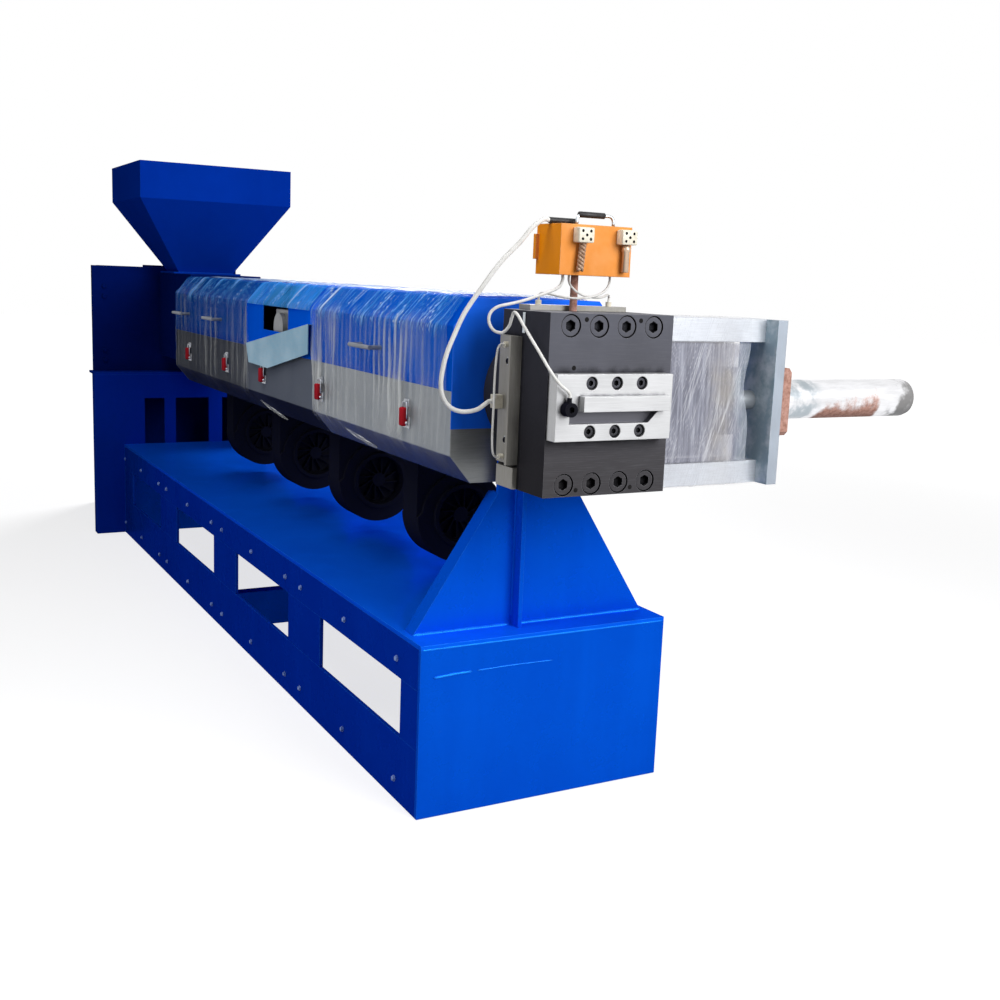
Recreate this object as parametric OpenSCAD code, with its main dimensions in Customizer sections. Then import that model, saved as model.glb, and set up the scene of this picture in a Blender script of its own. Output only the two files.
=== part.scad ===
// Single-screw recycling extruder for pelletizing plastic: welded base, heated
// barrel under guard covers, cooling blowers, hopper over the feed screw, gearbox
// on its stand, and a slot die with a slide screen changer.
// +X runs along the screw from the gearbox to the die, +Z is up, and the origin
// is on the floor under the middle cross member of the base.

/* [Base] */
// Length of the welded base along the screw
base_len = 3900; // [3700:10:4100]
// Width of the base across the screw
base_w = 800; // [720:10:900]
// Height of the stand's top above the deck
deck_drop = 395; // [370:5:420]
// Thickness of the base's plates and of the deck
plate_t = 12; // [8:1:20]
// Length of one window in the side of the base
window_len = 650; // [560:10:720]
// Distance from one window to the next
window_pitch = 970; // [930:10:1010]
// Plate left between the front of the base and the first window
window_front = 125; // [90:5:160]
// Height of the lower rail, up to the windows
lower_rail_h = 194; // [160:2:220]
// Height of the upper rail, from the windows to the deck plate's top
upper_rail_h = 130; // [100:2:150]
// Width of the cross member on the floor, along the screw
cross_w = 60; // [40:5:140]
// Height of the cross member on the floor
cross_h = 146; // [120:2:190]
// Height of the stiffeners under the deck
stiffener_h = 95; // [60:5:110]

/* [Barrel] */
// Radius of the barrel
barrel_r = 130; // [110:1:150]
// Radius of the flanges at both ends of the barrel
flange_r = 175; // [160:1:190]
// Length of the barrel's front flange
flange_len = 120; // [90:5:150]
// Length of the barrel's rear flange
rear_flange_len = 40; // [30:1:60]
// Length of the barrel from the feed block to the die
barrel_len = 3300; // [3200:10:3320]

/* [Covers] */
// Width of the guard covers
cover_w = 530; // [480:5:560]
// Height of the guard covers, both halves
cover_h = 512; // [470:2:540]
// Width of the sloping corner of a cover
cover_slope_y = 65; // [40:1:80]
// Height of the sloping corner of a cover
cover_slope_z = 78; // [50:1:90]
// Sheet thickness of the covers
cover_t = 3; // [2:0.5:5]
// Gap between the covers' front end and the barrel's front flange
cover_gap = 15; // [5:1:30]
// Length of the front pair of covers
cover_front_len = 1090; // [1040:5:1140]
// Length of the middle pair of covers, which has the vent window
cover_middle_len = 829; // [800:1:880]
// Distance from the middle cover's front seam to the vent window
vent_window_front = 300; // [250:5:330]
// Length of the vent window in the middle cover
vent_window_len = 305; // [250:5:330]
// Height of the vent window's sill above the screw axis
vent_sill = 77; // [70:1:85]
// Distance from the middle cover's rear seam to the loose vent plate's rear end
vent_plate_rear = 57; // [40:1:80]
// Distance from the middle cover's front seam to the loose vent plate's front end
vent_plate_front = 28; // [20:1:60]
// Height of the loose vent plate's high corner above the screw axis
vent_plate_rise = 126; // [100:1:140]
// Height of the loose vent plate at its high end
vent_plate_h = 105; // [90:1:120]
// Depth of the loose vent plate's low edge below the screw axis
vent_plate_low = 67; // [50:1:80]
// Length of the loose vent plate's low edge
vent_plate_edge = 248; // [200:1:300]
// Length of a lifting handle on the covers
handle_len = 170; // [140:2:200]
// Height of the lifting handles above the screw axis
handle_h = 86; // [60:1:110]
// Distance from the covers' front end to the first handle
handle_front = 578; // [500:1:640]
// Distance from the middle cover's rear seam to the second handle
handle_middle = 455; // [400:1:500]
// Distance from the covers' rear end to the last handle
handle_rear = 196; // [150:1:240]
// Distance from the covers' front end to the first latch
latch_front = 291; // [240:1:340]
// Distance from the covers' rear end to the last latch
latch_rear = 287; // [240:1:330]
// Distance from the middle cover's front seam forward to the second latch
latch_second = 67; // [50:1:90]
// Distance from the middle cover's rear seam forward to the third latch
latch_third = 246; // [200:1:290]
// Distance from the middle cover's rear seam back to the fourth latch
latch_fourth = 280; // [240:1:320]
// Width of a latch's base plate
latch_w = 44; // [36:1:60]
// Height of a latch, from its foot to its hook
latch_h = 88; // [80:1:100]
// Depth of the latches' hooks below the screw axis
latch_drop = 48; // [44:1:60]

/* [Front support] */
// Distance from the base's side to the foot of the front support
support_inset = 20; // [10:1:40]
// Width of the front support's neck under the barrel
support_neck_w = 260; // [220:5:300]
// Height of the sloping sides above the deck
support_slope_h = 385; // [350:5:395]
// Distance from the front of the base to the support plate
support_setback = 97; // [92:1:100]
// Depth of the support's folded side flanges
support_flange = 45; // [30:1:60]
// Depth of the upright rib on the support's front
rib_depth = 40; // [20:1:60]

/* [Blowers] */
// Radius of a blower's scroll at its outlet
blower_r = 163; // [150:1:170]
// Width of a blower's scroll along the screw
blower_w = 125; // [100:1:150]
// Radius of the round inlet
inlet_r = 92; // [75:1:100]
// Distance from the covers' front end to the first blower's front
blower_first = 515; // [450:5:550]
// Distance from the covers' rear end to the last blower's front
blower_last = 510; // [450:5:550]
// Height of the blowers' axis above the deck
blower_axis_h = 206; // [190:1:210]
// Distance of the blowers' axis from the screw axis, towards the far side
blower_shift = 45; // [0:1:60]
// Radius of a blower's motor
motor_r = 68; // [55:1:80]
// Length of a blower's motor
motor_len = 130; // [100:1:150]
// Number of blades on a blower's wheel
blade_count = 12; // [8:1:16]

/* [Hopper] */
// Length of the hopper's mouth along the screw
hopper_x = 717; // [650:1:730]
// Width of the hopper's mouth
hopper_y = 780; // [700:5:820]
// Length of the hopper's throat along the screw
throat_x = 242; // [200:2:280]
// Width of the hopper's throat
throat_y = 282; // [240:2:300]
// Height of the straight collar
collar_h = 182; // [150:2:220]
// Height of the tapered part
taper_h = 362; // [320:2:400]
// Sheet thickness of the hopper
hopper_t = 5; // [3:0.5:8]
// Width of the hopper's bottom flange beyond its walls
hopper_flange_w = 38; // [25:1:38]
// Thickness of the hopper's bottom flange
hopper_flange_t = 8; // [5:1:12]
// Distance from the feed block's rear to the middle of the hopper
hopper_setback = 166; // [160:1:200]
// Depth of the feed block's top below the gearbox's top
feed_drop = 26; // [0:1:30]
// Width of the feed block
feed_w = 360; // [358:2:400]
// Length of the feed block along the screw
feed_len = 680; // [675:1:700]
// Radius of the feed screw over its flight
screw_r = 75; // [65:1:80]
// Radius of the feed screw's root
screw_root_r = 46; // [40:1:50]
// Distance from one turn of the flight to the next
screw_lead = 121; // [100:1:150]

/* [Gearbox and stand] */
// Reach of the stand to the near side of the screw axis
stand_near = 550; // [500:5:600]
// Reach of the stand's body, behind its wider front plate, to the near side
stand_body_near = 384; // [380:1:420]
// Depth of the folded edge at the near side of the stand's front plate
stand_return = 60; // [40:5:100]
// Depth of the wide front part of the stand's top plate
stand_ledge = 162; // [150:1:190]
// Length of the stand along the screw
stand_len = 950; // [945:5:1050]
// Height of the stand with its top plate
stand_h = 890; // [860:5:900]
// Height of the gearbox's output above the stand
output_h = 273; // [260:1:310]
// Height of the stand's front beam
beam_h = 130; // [100:2:160]
// Length of the gearbox
gearbox_len = 800; // [700:5:820]
// Reach of the gearbox's front flange to the near side of the screw axis
gearbox_near = 533; // [480:1:545]
// Reach of the gearbox's body, behind its front flange, to the near side
gearbox_body_near = 372; // [360:1:378]
// Thickness of the gearbox's front flange
gearbox_flange_t = 40; // [25:1:60]
// Reach of the gearbox to the far side of the screw axis
gearbox_far = 255; // [240:1:300]
// Height of the gearbox
gearbox_h = 570; // [560:5:600]
// Thickness of the gearbox's bolted lid
gearbox_lid_t = 20; // [12:1:30]
// Thickness of the output bearing cover
output_cover_t = 30; // [20:1:40]
// Radius of the input shaft
input_r = 35; // [25:1:45]
// Free length of the input shaft
input_len = 110; // [80:5:140]
// Distance of the input shaft from the screw axis
input_offset = 240; // [200:5:250]

/* [Die head] */
// Width of the die blocks
die_w = 374; // [350:2:400]
// Height of the die blocks
die_h = 465; // [450:5:480]
// Thickness of the rear die block, the screen changer's body
rear_block_t = 118; // [100:1:130]
// Thickness of the front die block
front_block_t = 121; // [100:1:130]
// Distance between the big screws in a row
screw_pitch = 84; // [76:1:90]
// Distance of the screw rows from the screw axis
screw_row = 201; // [190:1:203]
// Radius of a big screw's head
screw_head_r = 26; // [20:0.5:28]
// Clearance of a screw head in its counterbore
head_clear = 3; // [1:0.5:4]
// Depth of the counterbores
counterbore_d = 36; // [25:1:45]
// Width of the bright die plate
die_plate_w = 350; // [320:2:364]
// Height of the bright die plate
die_plate_h = 168; // [150:2:180]
// Thickness of the bright die plate
die_plate_t = 41; // [30:1:50]
// Sideways offset of the die plate towards the near side
die_plate_shift = 9; // [0:1:12]
// Distance between the die plate's screws in a row
plate_screw_pitch = 76; // [60:1:84]
// Distance of the die plate's screw rows from the screw axis
plate_screw_row = 61; // [58:1:66]
// Radius of a die plate screw's head
plate_head_r = 13; // [9:0.5:15]
// Length of the die lip
lip_len = 262; // [230:2:280]
// Height of the die lip
lip_h = 38; // [30:1:44]
// Reach of the lip in front of the die plate
lip_reach = 25; // [15:1:35]
// Height of the slot under the lip
slot_h = 33; // [20:1:40]
// Depth of the slot under the lip
slot_d = 22; // [12:1:28]

/* [Plate heaters] */
// Thickness of the plate heaters on the rear block
heater_t = 14; // [8:1:18]
// Length of the heater on the near side
heater_len = 334; // [300:2:340]
// Length of the short heater below it
short_heater_len = 56; // [40:1:60]
// Length of the heater on top of the rear block
top_heater_len = 300; // [260:2:340]
// Width of the heater on top of the rear block
top_heater_w = 58; // [40:1:62]
// Radius of the heaters' terminal studs
stud_r = 8; // [5:0.5:10]
// Height of the heaters' terminal studs
stud_h = 12; // [10:1:16]

/* [Screen changer] */
// Length of the changer's bars from the block to the end plate
bar_len = 393; // [360:1:420]
// Depth of the bars along the screw
bar_d = 90; // [70:1:100]
// Height of a bar
bar_h = 64; // [50:1:70]
// Distance of the bars' middle from the changer axis
bar_row = 201; // [190:1:206]
// Depth of the end plate along the screw
end_plate_d = 160; // [140:2:170]
// Thickness of the end plate
end_plate_t = 35; // [25:1:45]
// Half the height of the cylinder's square flange
cyl_flange_half = 97; // [85:1:105]
// Thickness of the cylinder's flange
cyl_flange_t = 49; // [30:1:60]
// Radius of the cylinder's tube
tube_r = 58; // [45:1:65]
// Length of the cylinder's tube
tube_len = 514; // [450:2:560]
// Thickness of the cap that closes the tube
tube_cap_t = 14; // [8:1:20]

/* [Terminal box] */
// Width of the terminal box
box_w = 216; // [190:2:220]
// Depth of the terminal box
box_d = 120; // [100:2:130]
// Height of the terminal box
box_h = 128; // [110:2:140]
// Height of the post under the box
post_h = 93; // [80:1:110]
// Radius of the post
post_r = 10; // [7:0.5:14]

/* [Hidden] */
$fn = 64;

base_front = base_len / 2;
base_h = stand_h - deck_drop;
axis_z = stand_h + output_h;
seat_gap = 0.3;
first_window = base_front - window_front;
window_count = floor((base_len - 2 * window_front + window_pitch - window_len) / window_pitch);
cross_shift = 45;
cross_x = post_mid(floor(window_count / 2)) - cross_shift;
stand_far = base_w / 2;
stand_bays = [[-287, -178], [-117, 69], [144, 248]];
support_x = base_front - support_setback;
support_rib_y = -65;
barrel_rear = base_front - barrel_len;
cover_front = base_front - flange_len - cover_gap;
cover_seam_1 = cover_front - cover_front_len;
cover_seam_2 = cover_seam_1 - cover_middle_len;
cover_rear = barrel_rear + rear_flange_len;
cover_bottom = axis_z - cover_h / 2;
cover_side = -cover_w / 2;
vent_window_x = cover_seam_1 - vent_window_front;
vent_mid = vent_window_x - vent_window_len / 2;
handle_places = [cover_front - handle_front, cover_seam_2 - handle_middle, cover_rear + handle_rear];
latch_places = [cover_front - latch_front, cover_seam_1 + latch_second, cover_seam_2 + latch_third,
    cover_seam_2 - latch_fourth, cover_rear + latch_rear];
blower_front = cover_front - blower_first;
blower_pitch = (blower_front - cover_rear - blower_last) / 3;
feed_rear = barrel_rear - feed_len;
gearbox_front = feed_rear - output_cover_t;
gearbox_rear = gearbox_front - gearbox_len;
gearbox_top = stand_h + gearbox_h;
hopper_cx = feed_rear + hopper_setback;
feed_z = gearbox_top - feed_drop;
hopper_z = feed_z + hopper_flange_t + taper_h;
hopper_top = hopper_z + collar_h;
screw_bore_r = screw_r + 1;
block_front = base_front + rear_block_t;
die_front = block_front + front_block_t;
plate_front = die_front + die_plate_t;
die_top = axis_z + die_h / 2;
die_side = -die_w / 2;
plate_screw_shift = 6;
plate_bore_r = plate_head_r + 4;
plate_bore_d = 22;
heater_rear = base_front + 12;
heater_front = block_front - 14;
changer_x = block_front - 18;
changer_z = axis_z - 8;
bars_front = changer_x + 50;
end_plate_front = bars_front + 50;
bars_end = die_w / 2 + bar_len;
box_z = die_top + post_h;
box_top = box_z + box_h;
box_cx = block_front - 28;
box_cy = -6;
box_front = box_cx + box_d / 2;
box_left = box_cy - box_w / 2;
box_right = box_cy + box_w / 2;

// Routes of the leads, as points along their middle lines
heater_route = [[2045, -118, 1625], [2045, -135, 1625], [2043, -165, 1604], [2040, -198, 1565],
    [2030, -248, 1511], [2015, -294, 1442], [2000, -327, 1385], [1990, -348, 1332], [1980, -367, 1273],
    [1970, -374, 1210], [1965, -366, 1169], [1962, -346, 1142], [1962, -319, 1129], [1964, -290, 1127],
    [1968, -264, 1133], [1972, -246, 1146], [1976, -236, 1154], [1976, -225, 1154]];
jumper_route = [[2005, -213, 1305], [2005, -222, 1305], [2005, -231, 1292], [2004, -235, 1250],
    [2003, -236, 1200], [2003, -236, 1154], [2002, -236, 1106], [2000, -235, 1060], [1998, -231, 1023],
    [1997, -222, 1010], [1997, -213, 1010]];
sensor_route = [[2070, -85, 1488], [2070, -85, 1474], [2068, -95, 1456], [2064, -122, 1443],
    [2059, -158, 1430], [2050, -192, 1418], [2042, -222, 1410], [2032, -250, 1402], [2026, -267, 1387],
    [2025, -271, 1365], [2030, -260, 1343], [2040, -240, 1337], [2050, -226, 1353], [2060, -224, 1376],
    [2074, -226, 1390], [2094, -226, 1384], [2115, -222, 1362], [2150, -216, 1328], [2190, -212, 1294],
    [2224, -204, 1258], [2244, -187, 1226], [2246, -164, 1208], [2243, -154, 1198], [2243, -154, 1190]];
top_near_route = [[2060, -60, 1488.5], [2060, -60, 1476], [2061, -54, 1462], [2062, -38, 1448],
    [2062, -14, 1438], [2060, 12, 1434], [2052, 40, 1433], [2038, 66, 1436], [2020, 88, 1440],
    [2004, 104, 1440], [1996, 110, 1433], [1995, 110, 1421.5]];
top_far_route = [[2070, 60, 1488.5], [2070, 60, 1476], [2072, 54, 1462], [2076, 38, 1448],
    [2080, 12, 1438], [2082, -18, 1432], [2078, -50, 1430], [2064, -78, 1432], [2042, -97, 1437],
    [2018, -108, 1440], [2000, -110, 1436], [1995, -110, 1421.5]];
heater_lead_d = 12;
thin_lead_d = 6;
sensor_lead_d = 8;

function unit(v) = v / norm(v);
function tangent(p, i) = unit(p[min(i + 1, len(p) - 1)] - p[max(i - 1, 0)]);
function side_of(t) = unit(cross(t, [1, 0, 0]));
function ring(p, i, r, n) =
    let (t = tangent(p, i), a = side_of(t), b = cross(t, a))
    [for (k = [0:n - 1]) p[i] + r * (cos(360 * k / n) * a + sin(360 * k / n) * b)];

// Middle of the post behind a window, counted from the front
function post_mid(i) = first_window - i * window_pitch + (window_pitch - window_len) / 2;

// Outline of both cover halves, as a flat octagon round the screw axis
function cover_outline(inset) =
    let (w = cover_w / 2 - inset, h = cover_h / 2 - inset, c = inset * 0.45)
    let (y = w - cover_slope_y + c, z = h - cover_slope_z + c)
    [[-w, -z], [-y, -h], [y, -h], [w, -z], [w, z], [y, h], [-y, h], [-w, z]];

module slab(x0, x1, y0, y1, z0, z1) {
    translate([min(x0, x1), min(y0, y1), min(z0, z1)])
        cube([abs(x1 - x0), abs(y1 - y0), abs(z1 - z0)]);
}

module rod_x(r, x0, x1, y = 0, z = 0) {
    translate([min(x0, x1), y, z])
        rotate([0, 90, 0])
            cylinder(r = r, h = abs(x1 - x0));
}

module rod_y(r, y0, y1, x = 0, z = 0) {
    translate([x, min(y0, y1), z])
        rotate([-90, 0, 0])
            cylinder(r = r, h = abs(y1 - y0));
}

// Carries a flat outline in Y and Z along X from x0 to x1
module along_x(x0, x1) {
    translate([min(x0, x1), 0, 0])
        rotate([90, 0, 90])
            linear_extrude(abs(x1 - x0))
                children();
}

// Carries a flat outline in X and Z along Y from y0 to y1
module along_y(y0, y1) {
    translate([0, max(y0, y1), 0])
        rotate([90, 0, 0])
            linear_extrude(abs(y1 - y0))
                children();
}

module swept_lead(p, d, n) {
    last = len(p) - 1;
    verts = [for (i = [0:last]) each ring(p, i, d / 2, n)];
    walls = [for (i = [0:last - 1], k = [0:n - 1])
        [i * n + k, i * n + (k + 1) % n, (i + 1) * n + (k + 1) % n, (i + 1) * n + k]];
    start_cap = [for (k = [n - 1:-1:0]) k];
    end_cap = [for (k = [0:n - 1]) last * n + k];
    polyhedron(verts, concat(walls, [start_cap, end_cap]), convexity = 8);
}

// One member on the floor at the middle of the base, and a stiffener under the deck at each post
module base_cross_members() {
    inner = base_w / 2 - plate_t;
    under_deck = base_h - plate_t;
    color("#0b3fae") {
        for (i = [1:window_count - 1])
            slab(post_mid(i), post_mid(i) + plate_t, -inner, inner, under_deck - stiffener_h, under_deck);
        slab(cross_x - cross_w / 2, cross_x + cross_w / 2, -inner, inner, 0, cross_h);
    }
}

module side_rails(y) {
    color("#06206e") {
        slab(-base_front + plate_t, base_front - plate_t, y, y + plate_t, 0, lower_rail_h);
        slab(-base_front + plate_t, base_front - plate_t, y, y + plate_t,
            base_h - upper_rail_h, base_h - plate_t);
    }
}

module side_posts(y) {
    z1 = base_h - upper_rail_h;
    last = first_window - (window_count - 1) * window_pitch - window_len;
    color("#06206e") {
        slab(first_window, base_front - plate_t, y, y + plate_t, lower_rail_h, z1);
        for (i = [1:window_count - 1]) {
            front = first_window - (i - 1) * window_pitch - window_len;
            slab(front, first_window - i * window_pitch, y, y + plate_t, lower_rail_h, z1);
        }
        slab(-base_front + plate_t, last, y, y + plate_t, lower_rail_h, z1);
    }
}

module base_near_rails() {
    side_rails(-base_w / 2);
}

module base_near_posts() {
    side_posts(-base_w / 2);
}

module base_far_rails() {
    side_rails(base_w / 2 - plate_t);
}

module base_far_posts() {
    side_posts(base_w / 2 - plate_t);
}

module base_end_panels() {
    color("#0d52cf")
        for (x = [-base_front, base_front - plate_t])
            slab(x, x + plate_t, -base_w / 2, base_w / 2, 0, base_h - plate_t);
}

module base_deck() {
    color("#0a3fa8")
        slab(-base_front, base_front, -base_w / 2, base_w / 2, base_h - plate_t, base_h);
}

// Tapered plate with folded flanges and a rounded seat for the barrel's flange
module front_support() {
    foot = base_w / 2 - support_inset;
    neck = support_neck_w / 2;
    top = base_h + support_slope_h;
    seat = axis_z - flange_r * 0.75;
    rear = support_x - plate_t;
    slope = atan2(foot - neck, support_slope_h);
    fold = plate_t / cos(slope);
    color("#0d52cf") {
        difference() {
            along_x(rear, support_x)
                polygon([[-foot, base_h], [foot, base_h], [neck, top], [neck, seat],
                    [-neck, seat], [-neck, top]]);
            rod_x(flange_r + seat_gap, rear - plate_t, support_x + plate_t, 0, axis_z);
        }
        for (s = [-1, 1])
            along_x(rear - support_flange, rear)
                polygon([[s * foot, base_h], [s * (foot - fold), base_h],
                    [s * (neck - fold), top], [s * neck, top]]);
        slab(support_x, support_x + rib_depth, support_rib_y - plate_t / 2, support_rib_y + plate_t / 2,
            base_h, axis_z - die_h / 2);
    }
}

// Front wall of the gearbox stand, with three bays under its beam
module stand_front() {
    x = -base_front;
    bay_top = stand_h - plate_t - beam_h;
    color("#0a2f9a")
        difference() {
            slab(x - plate_t, x, -stand_near, stand_far, 0, stand_h - plate_t);
            for (b = stand_bays)
                slab(x - 2 * plate_t, x + plate_t, b[0], b[1], base_h, bay_top);
        }
}

// Walls of the stand's body, with the front plate's folded near edge
module stand_side_walls() {
    x = -base_front - plate_t;
    top = stand_h - plate_t;
    color("#06206e") {
        for (y = [-stand_body_near, stand_far - plate_t])
            slab(-base_front - stand_len + plate_t, x, y, y + plate_t, 0, top);
        slab(x - stand_return, x, -stand_near, -stand_near + plate_t, 0, top);
    }
}

module stand_rear_wall() {
    x = -base_front - stand_len;
    color("#06206e")
        slab(x, x + plate_t, -stand_body_near, stand_far, 0, stand_h - plate_t);
}

// Top plate, wider in front where the gearbox's flange stands on it
module stand_top_plate() {
    x = -base_front;
    z = stand_h - plate_t;
    color("#0a2f9a")
        union() {
            slab(x - stand_ledge, x, -stand_near, stand_far, z, stand_h);
            slab(x - stand_len, x, -stand_body_near, stand_far, z, stand_h);
        }
}

// Cast housing: a wide front flange with the narrower body behind it
module gearbox_housing() {
    flange_rear = gearbox_front - gearbox_flange_t;
    color("#04124a") {
        slab(gearbox_rear, flange_rear, -gearbox_body_near, gearbox_far,
            stand_h, gearbox_top - gearbox_lid_t);
        slab(flange_rear, gearbox_front, -gearbox_near, gearbox_far, stand_h, gearbox_top);
    }
}

// Bolted lid with an inspection cover and a breather
module gearbox_lid() {
    mid_x = (gearbox_front + gearbox_rear) / 2;
    mid_y = (gearbox_far - gearbox_body_near) / 2;
    cover_x = 130;
    cover_y = 95;
    cover_rise = 12;
    color("#04124a") {
        slab(gearbox_rear, gearbox_front - gearbox_flange_t, -gearbox_body_near, gearbox_far,
            gearbox_top - gearbox_lid_t, gearbox_top);
        slab(mid_x - cover_x, mid_x + cover_x, mid_y - cover_y, mid_y + cover_y,
            gearbox_top, gearbox_top + cover_rise);
        translate([mid_x, mid_y + cover_y / 2, gearbox_top])
            cylinder(r = 14, h = cover_rise + 34);
    }
}

module gearbox_output_cover() {
    color("#04124a")
        rod_x(flange_r, gearbox_front, feed_rear, 0, axis_z);
}

module gearbox_input_shaft() {
    boss_t = 25;
    color("#6d7076") {
        rod_x(input_r, gearbox_rear - boss_t - input_len, gearbox_rear - boss_t, -input_offset, axis_z);
        rod_x(3 * input_r, gearbox_rear - boss_t, gearbox_rear, -input_offset, axis_z);
    }
}

// Block with the open feed throat over the screw's trough, between gearbox and barrel
module feed_block() {
    floor_z = axis_z + barrel_r / 2;
    x0 = hopper_cx - throat_x / 2;
    x1 = hopper_cx + throat_x / 2;
    color("#0a2f9a")
        difference() {
            slab(feed_rear, barrel_rear, -feed_w / 2, feed_w / 2, axis_z - feed_w / 2, feed_z);
            slab(x0, x1, -throat_y / 2, throat_y / 2, floor_z, feed_z + hopper_flange_t);
            slab(x0, x1, -screw_bore_r, screw_bore_r, axis_z, feed_z);
            rod_x(screw_bore_r, x0, x1, 0, axis_z);
        }
}

// Stretch of the screw that shows in the throat: a round root with one helical flight
module feed_screw() {
    flight_w = 16;
    turns = throat_x / screw_lead;
    flight_half = flight_w / screw_lead * 180;
    flight = [for (a = [-1:0.5:1]) screw_r * [cos(a * flight_half), sin(a * flight_half)]];
    color("#b9bcc0")
        translate([hopper_cx - throat_x / 2, 0, axis_z])
            rotate([0, 90, 0])
                linear_extrude(throat_x, twist = -360 * turns, slices = 28 * turns)
                    union() {
                        circle(r = screw_root_r, $fn = 32);
                        polygon(concat([[0, 0]], flight));
                    }
}

module hopper_form(inset, lift) {
    z0 = feed_z - lift;
    z1 = hopper_z;
    z2 = hopper_top + lift;
    module half_outline(mouth, throat) {
        m = mouth / 2 - inset;
        t = throat / 2;
        polygon([[-t, z0], [t, z0], [t, feed_z + hopper_flange_t], [m, z1], [m, z2], [-m, z2], [-m, z1],
            [-t, feed_z + hopper_flange_t]]);
    }
    intersection() {
        along_y(-hopper_y, hopper_y)
            translate([hopper_cx, 0])
                half_outline(hopper_x, throat_x + 2 * (hopper_t - inset));
        along_x(hopper_cx - hopper_x, hopper_cx + hopper_x)
            half_outline(hopper_y, throat_y + 2 * (hopper_t - inset));
    }
}

// Folded sheet hopper: straight collar, four tapering sides and a bolted flange
module hopper() {
    color("#0a2fa0")
        difference() {
            union() {
                hopper_form(0, 0);
                flange_x = throat_x / 2 + hopper_flange_w;
                flange_y = throat_y / 2 + hopper_flange_w;
                slab(hopper_cx - flange_x, hopper_cx + flange_x, -flange_y, flange_y,
                    feed_z, feed_z + hopper_flange_t);
            }
            hopper_form(hopper_t, 1);
        }
}

module barrel() {
    color("#3b3c40")
        union() {
            rod_x(barrel_r, barrel_rear, base_front, 0, axis_z);
            rod_x(flange_r, base_front - flange_len, base_front, 0, axis_z);
            rod_x(flange_r, barrel_rear, barrel_rear + rear_flange_len, 0, axis_z);
        }
}

// One half of a cover section, folded from sheet, open towards the other half
module cover_half(x0, x1, upper) {
    along_x(x0, x1)
        translate([0, axis_z])
            intersection() {
                difference() {
                    polygon(cover_outline(0));
                    polygon(cover_outline(cover_t));
                }
                translate([-cover_w, upper ? 0 : -cover_h])
                    square([2 * cover_w, cover_h]);
            }
}

module cover_upper_front() {
    color("#1450c0")
        cover_half(cover_seam_1, cover_front - cover_t, true);
}

module cover_upper_middle() {
    color("#1450c0")
        difference() {
            cover_half(cover_seam_2, cover_seam_1, true);
            slab(vent_window_x - vent_window_len, vent_window_x,
                -cover_w, cover_side + cover_slope_y - cover_t, axis_z + vent_sill, axis_z + cover_h);
        }
}

module cover_upper_rear() {
    color("#1450c0")
        cover_half(cover_rear + cover_t, cover_seam_2, true);
}

module cover_lower_front() {
    color("#9a9ea0")
        cover_half(cover_seam_1, cover_front - cover_t, false);
}

module cover_lower_middle() {
    color("#9a9ea0")
        cover_half(cover_seam_2, cover_seam_1, false);
}

module cover_lower_rear() {
    color("#9a9ea0")
        cover_half(cover_rear + cover_t, cover_seam_2, false);
}

module cover_end_plates() {
    color("#1450c0")
        for (x = [cover_rear, cover_front - cover_t])
            along_x(x, x + cover_t)
                translate([0, axis_z])
                    difference() {
                        polygon(cover_outline(0));
                        circle(r = barrel_r + 2 * seat_gap);
                    }
}

module cover_handles() {
    z = axis_z + handle_h;
    bar_r = 7;
    reach = 40;
    half = handle_len / 2;
    color("#b8babd")
        for (x = handle_places) {
            rod_y(bar_r, cover_side - reach, cover_side, x - half + bar_r, z);
            rod_y(bar_r, cover_side - reach, cover_side, x + half - bar_r, z);
            rod_x(bar_r, x - half, x + half, cover_side - reach, z);
        }
}

// Toggle latches that pull the cover halves together
module cover_latches() {
    hook_top = axis_z - latch_drop;
    foot = hook_top - latch_h;
    base_t = 5;
    lever_half = 15;
    lever_t = 19;
    lever_foot = 6;
    lever_h = 60;
    hook_r = 9;
    color("#c22328")
        for (x = latch_places) {
            slab(x - latch_w / 2, x + latch_w / 2, cover_side - base_t, cover_side, foot, hook_top);
            slab(x - lever_half, x + lever_half, cover_side - base_t - lever_t, cover_side - base_t,
                foot + lever_foot, foot + lever_foot + lever_h);
            rod_y(hook_r, cover_side - base_t - hook_r, cover_side - base_t, x, hook_top - 1.5 * hook_r);
        }
}

// Saddle on the barrel with a round vent mouth towards the near side
module vent_port() {
    face = cover_side + 30;
    half = 80;
    foot = axis_z + 20;
    saddle_h = 140;
    mouth_r = 56;
    mouth_reach = 18;
    color("#8d8f93") {
        difference() {
            slab(vent_mid - half, vent_mid + half, face, -barrel_r / 2, foot, foot + saddle_h);
            rod_x(barrel_r + seat_gap, vent_mid - 2 * half, vent_mid + 2 * half, 0, axis_z);
        }
        rod_y(mouth_r, face - mouth_reach, face, vent_mid, foot + saddle_h / 2 + 2);
    }
}

// Loose stainless plate that hangs askew over the vent window's sill, with its top edge folded
module vent_plate() {
    stand_off = 16;
    sheet = 3;
    left = cover_seam_2 + vent_plate_rear;
    right = cover_seam_1 - vent_plate_front;
    top_left = axis_z + 12;
    top_right = axis_z + vent_plate_rise;
    low = axis_z - vent_plate_low;
    low_left = left + 35;
    low_right = low_left + vent_plate_edge;
    face = cover_side - stand_off - sheet;
    slope = atan2(top_right - top_left, right - left);
    color("#c9cdd0") {
        along_y(face, face + sheet)
            polygon([[left, top_left], [right, top_right], [right, top_right - vent_plate_h],
                [low_right, low], [low_left, low + 4]]);
        translate([left, face, top_left])
            rotate([0, -slope, 0])
                translate([0, 0, -sheet])
                    cube([(right - left) / cos(slope) - sheet, stand_off + sheet, sheet]);
    }
}

// Spiral outline of a blower's casing, widening round to the outlet
function scroll(r0, r1, n) =
    [for (i = [0:n]) let (a = 90 - 270 * i / n) (r0 + (r1 - r0) * i / n) * [cos(a), sin(a)]];

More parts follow.
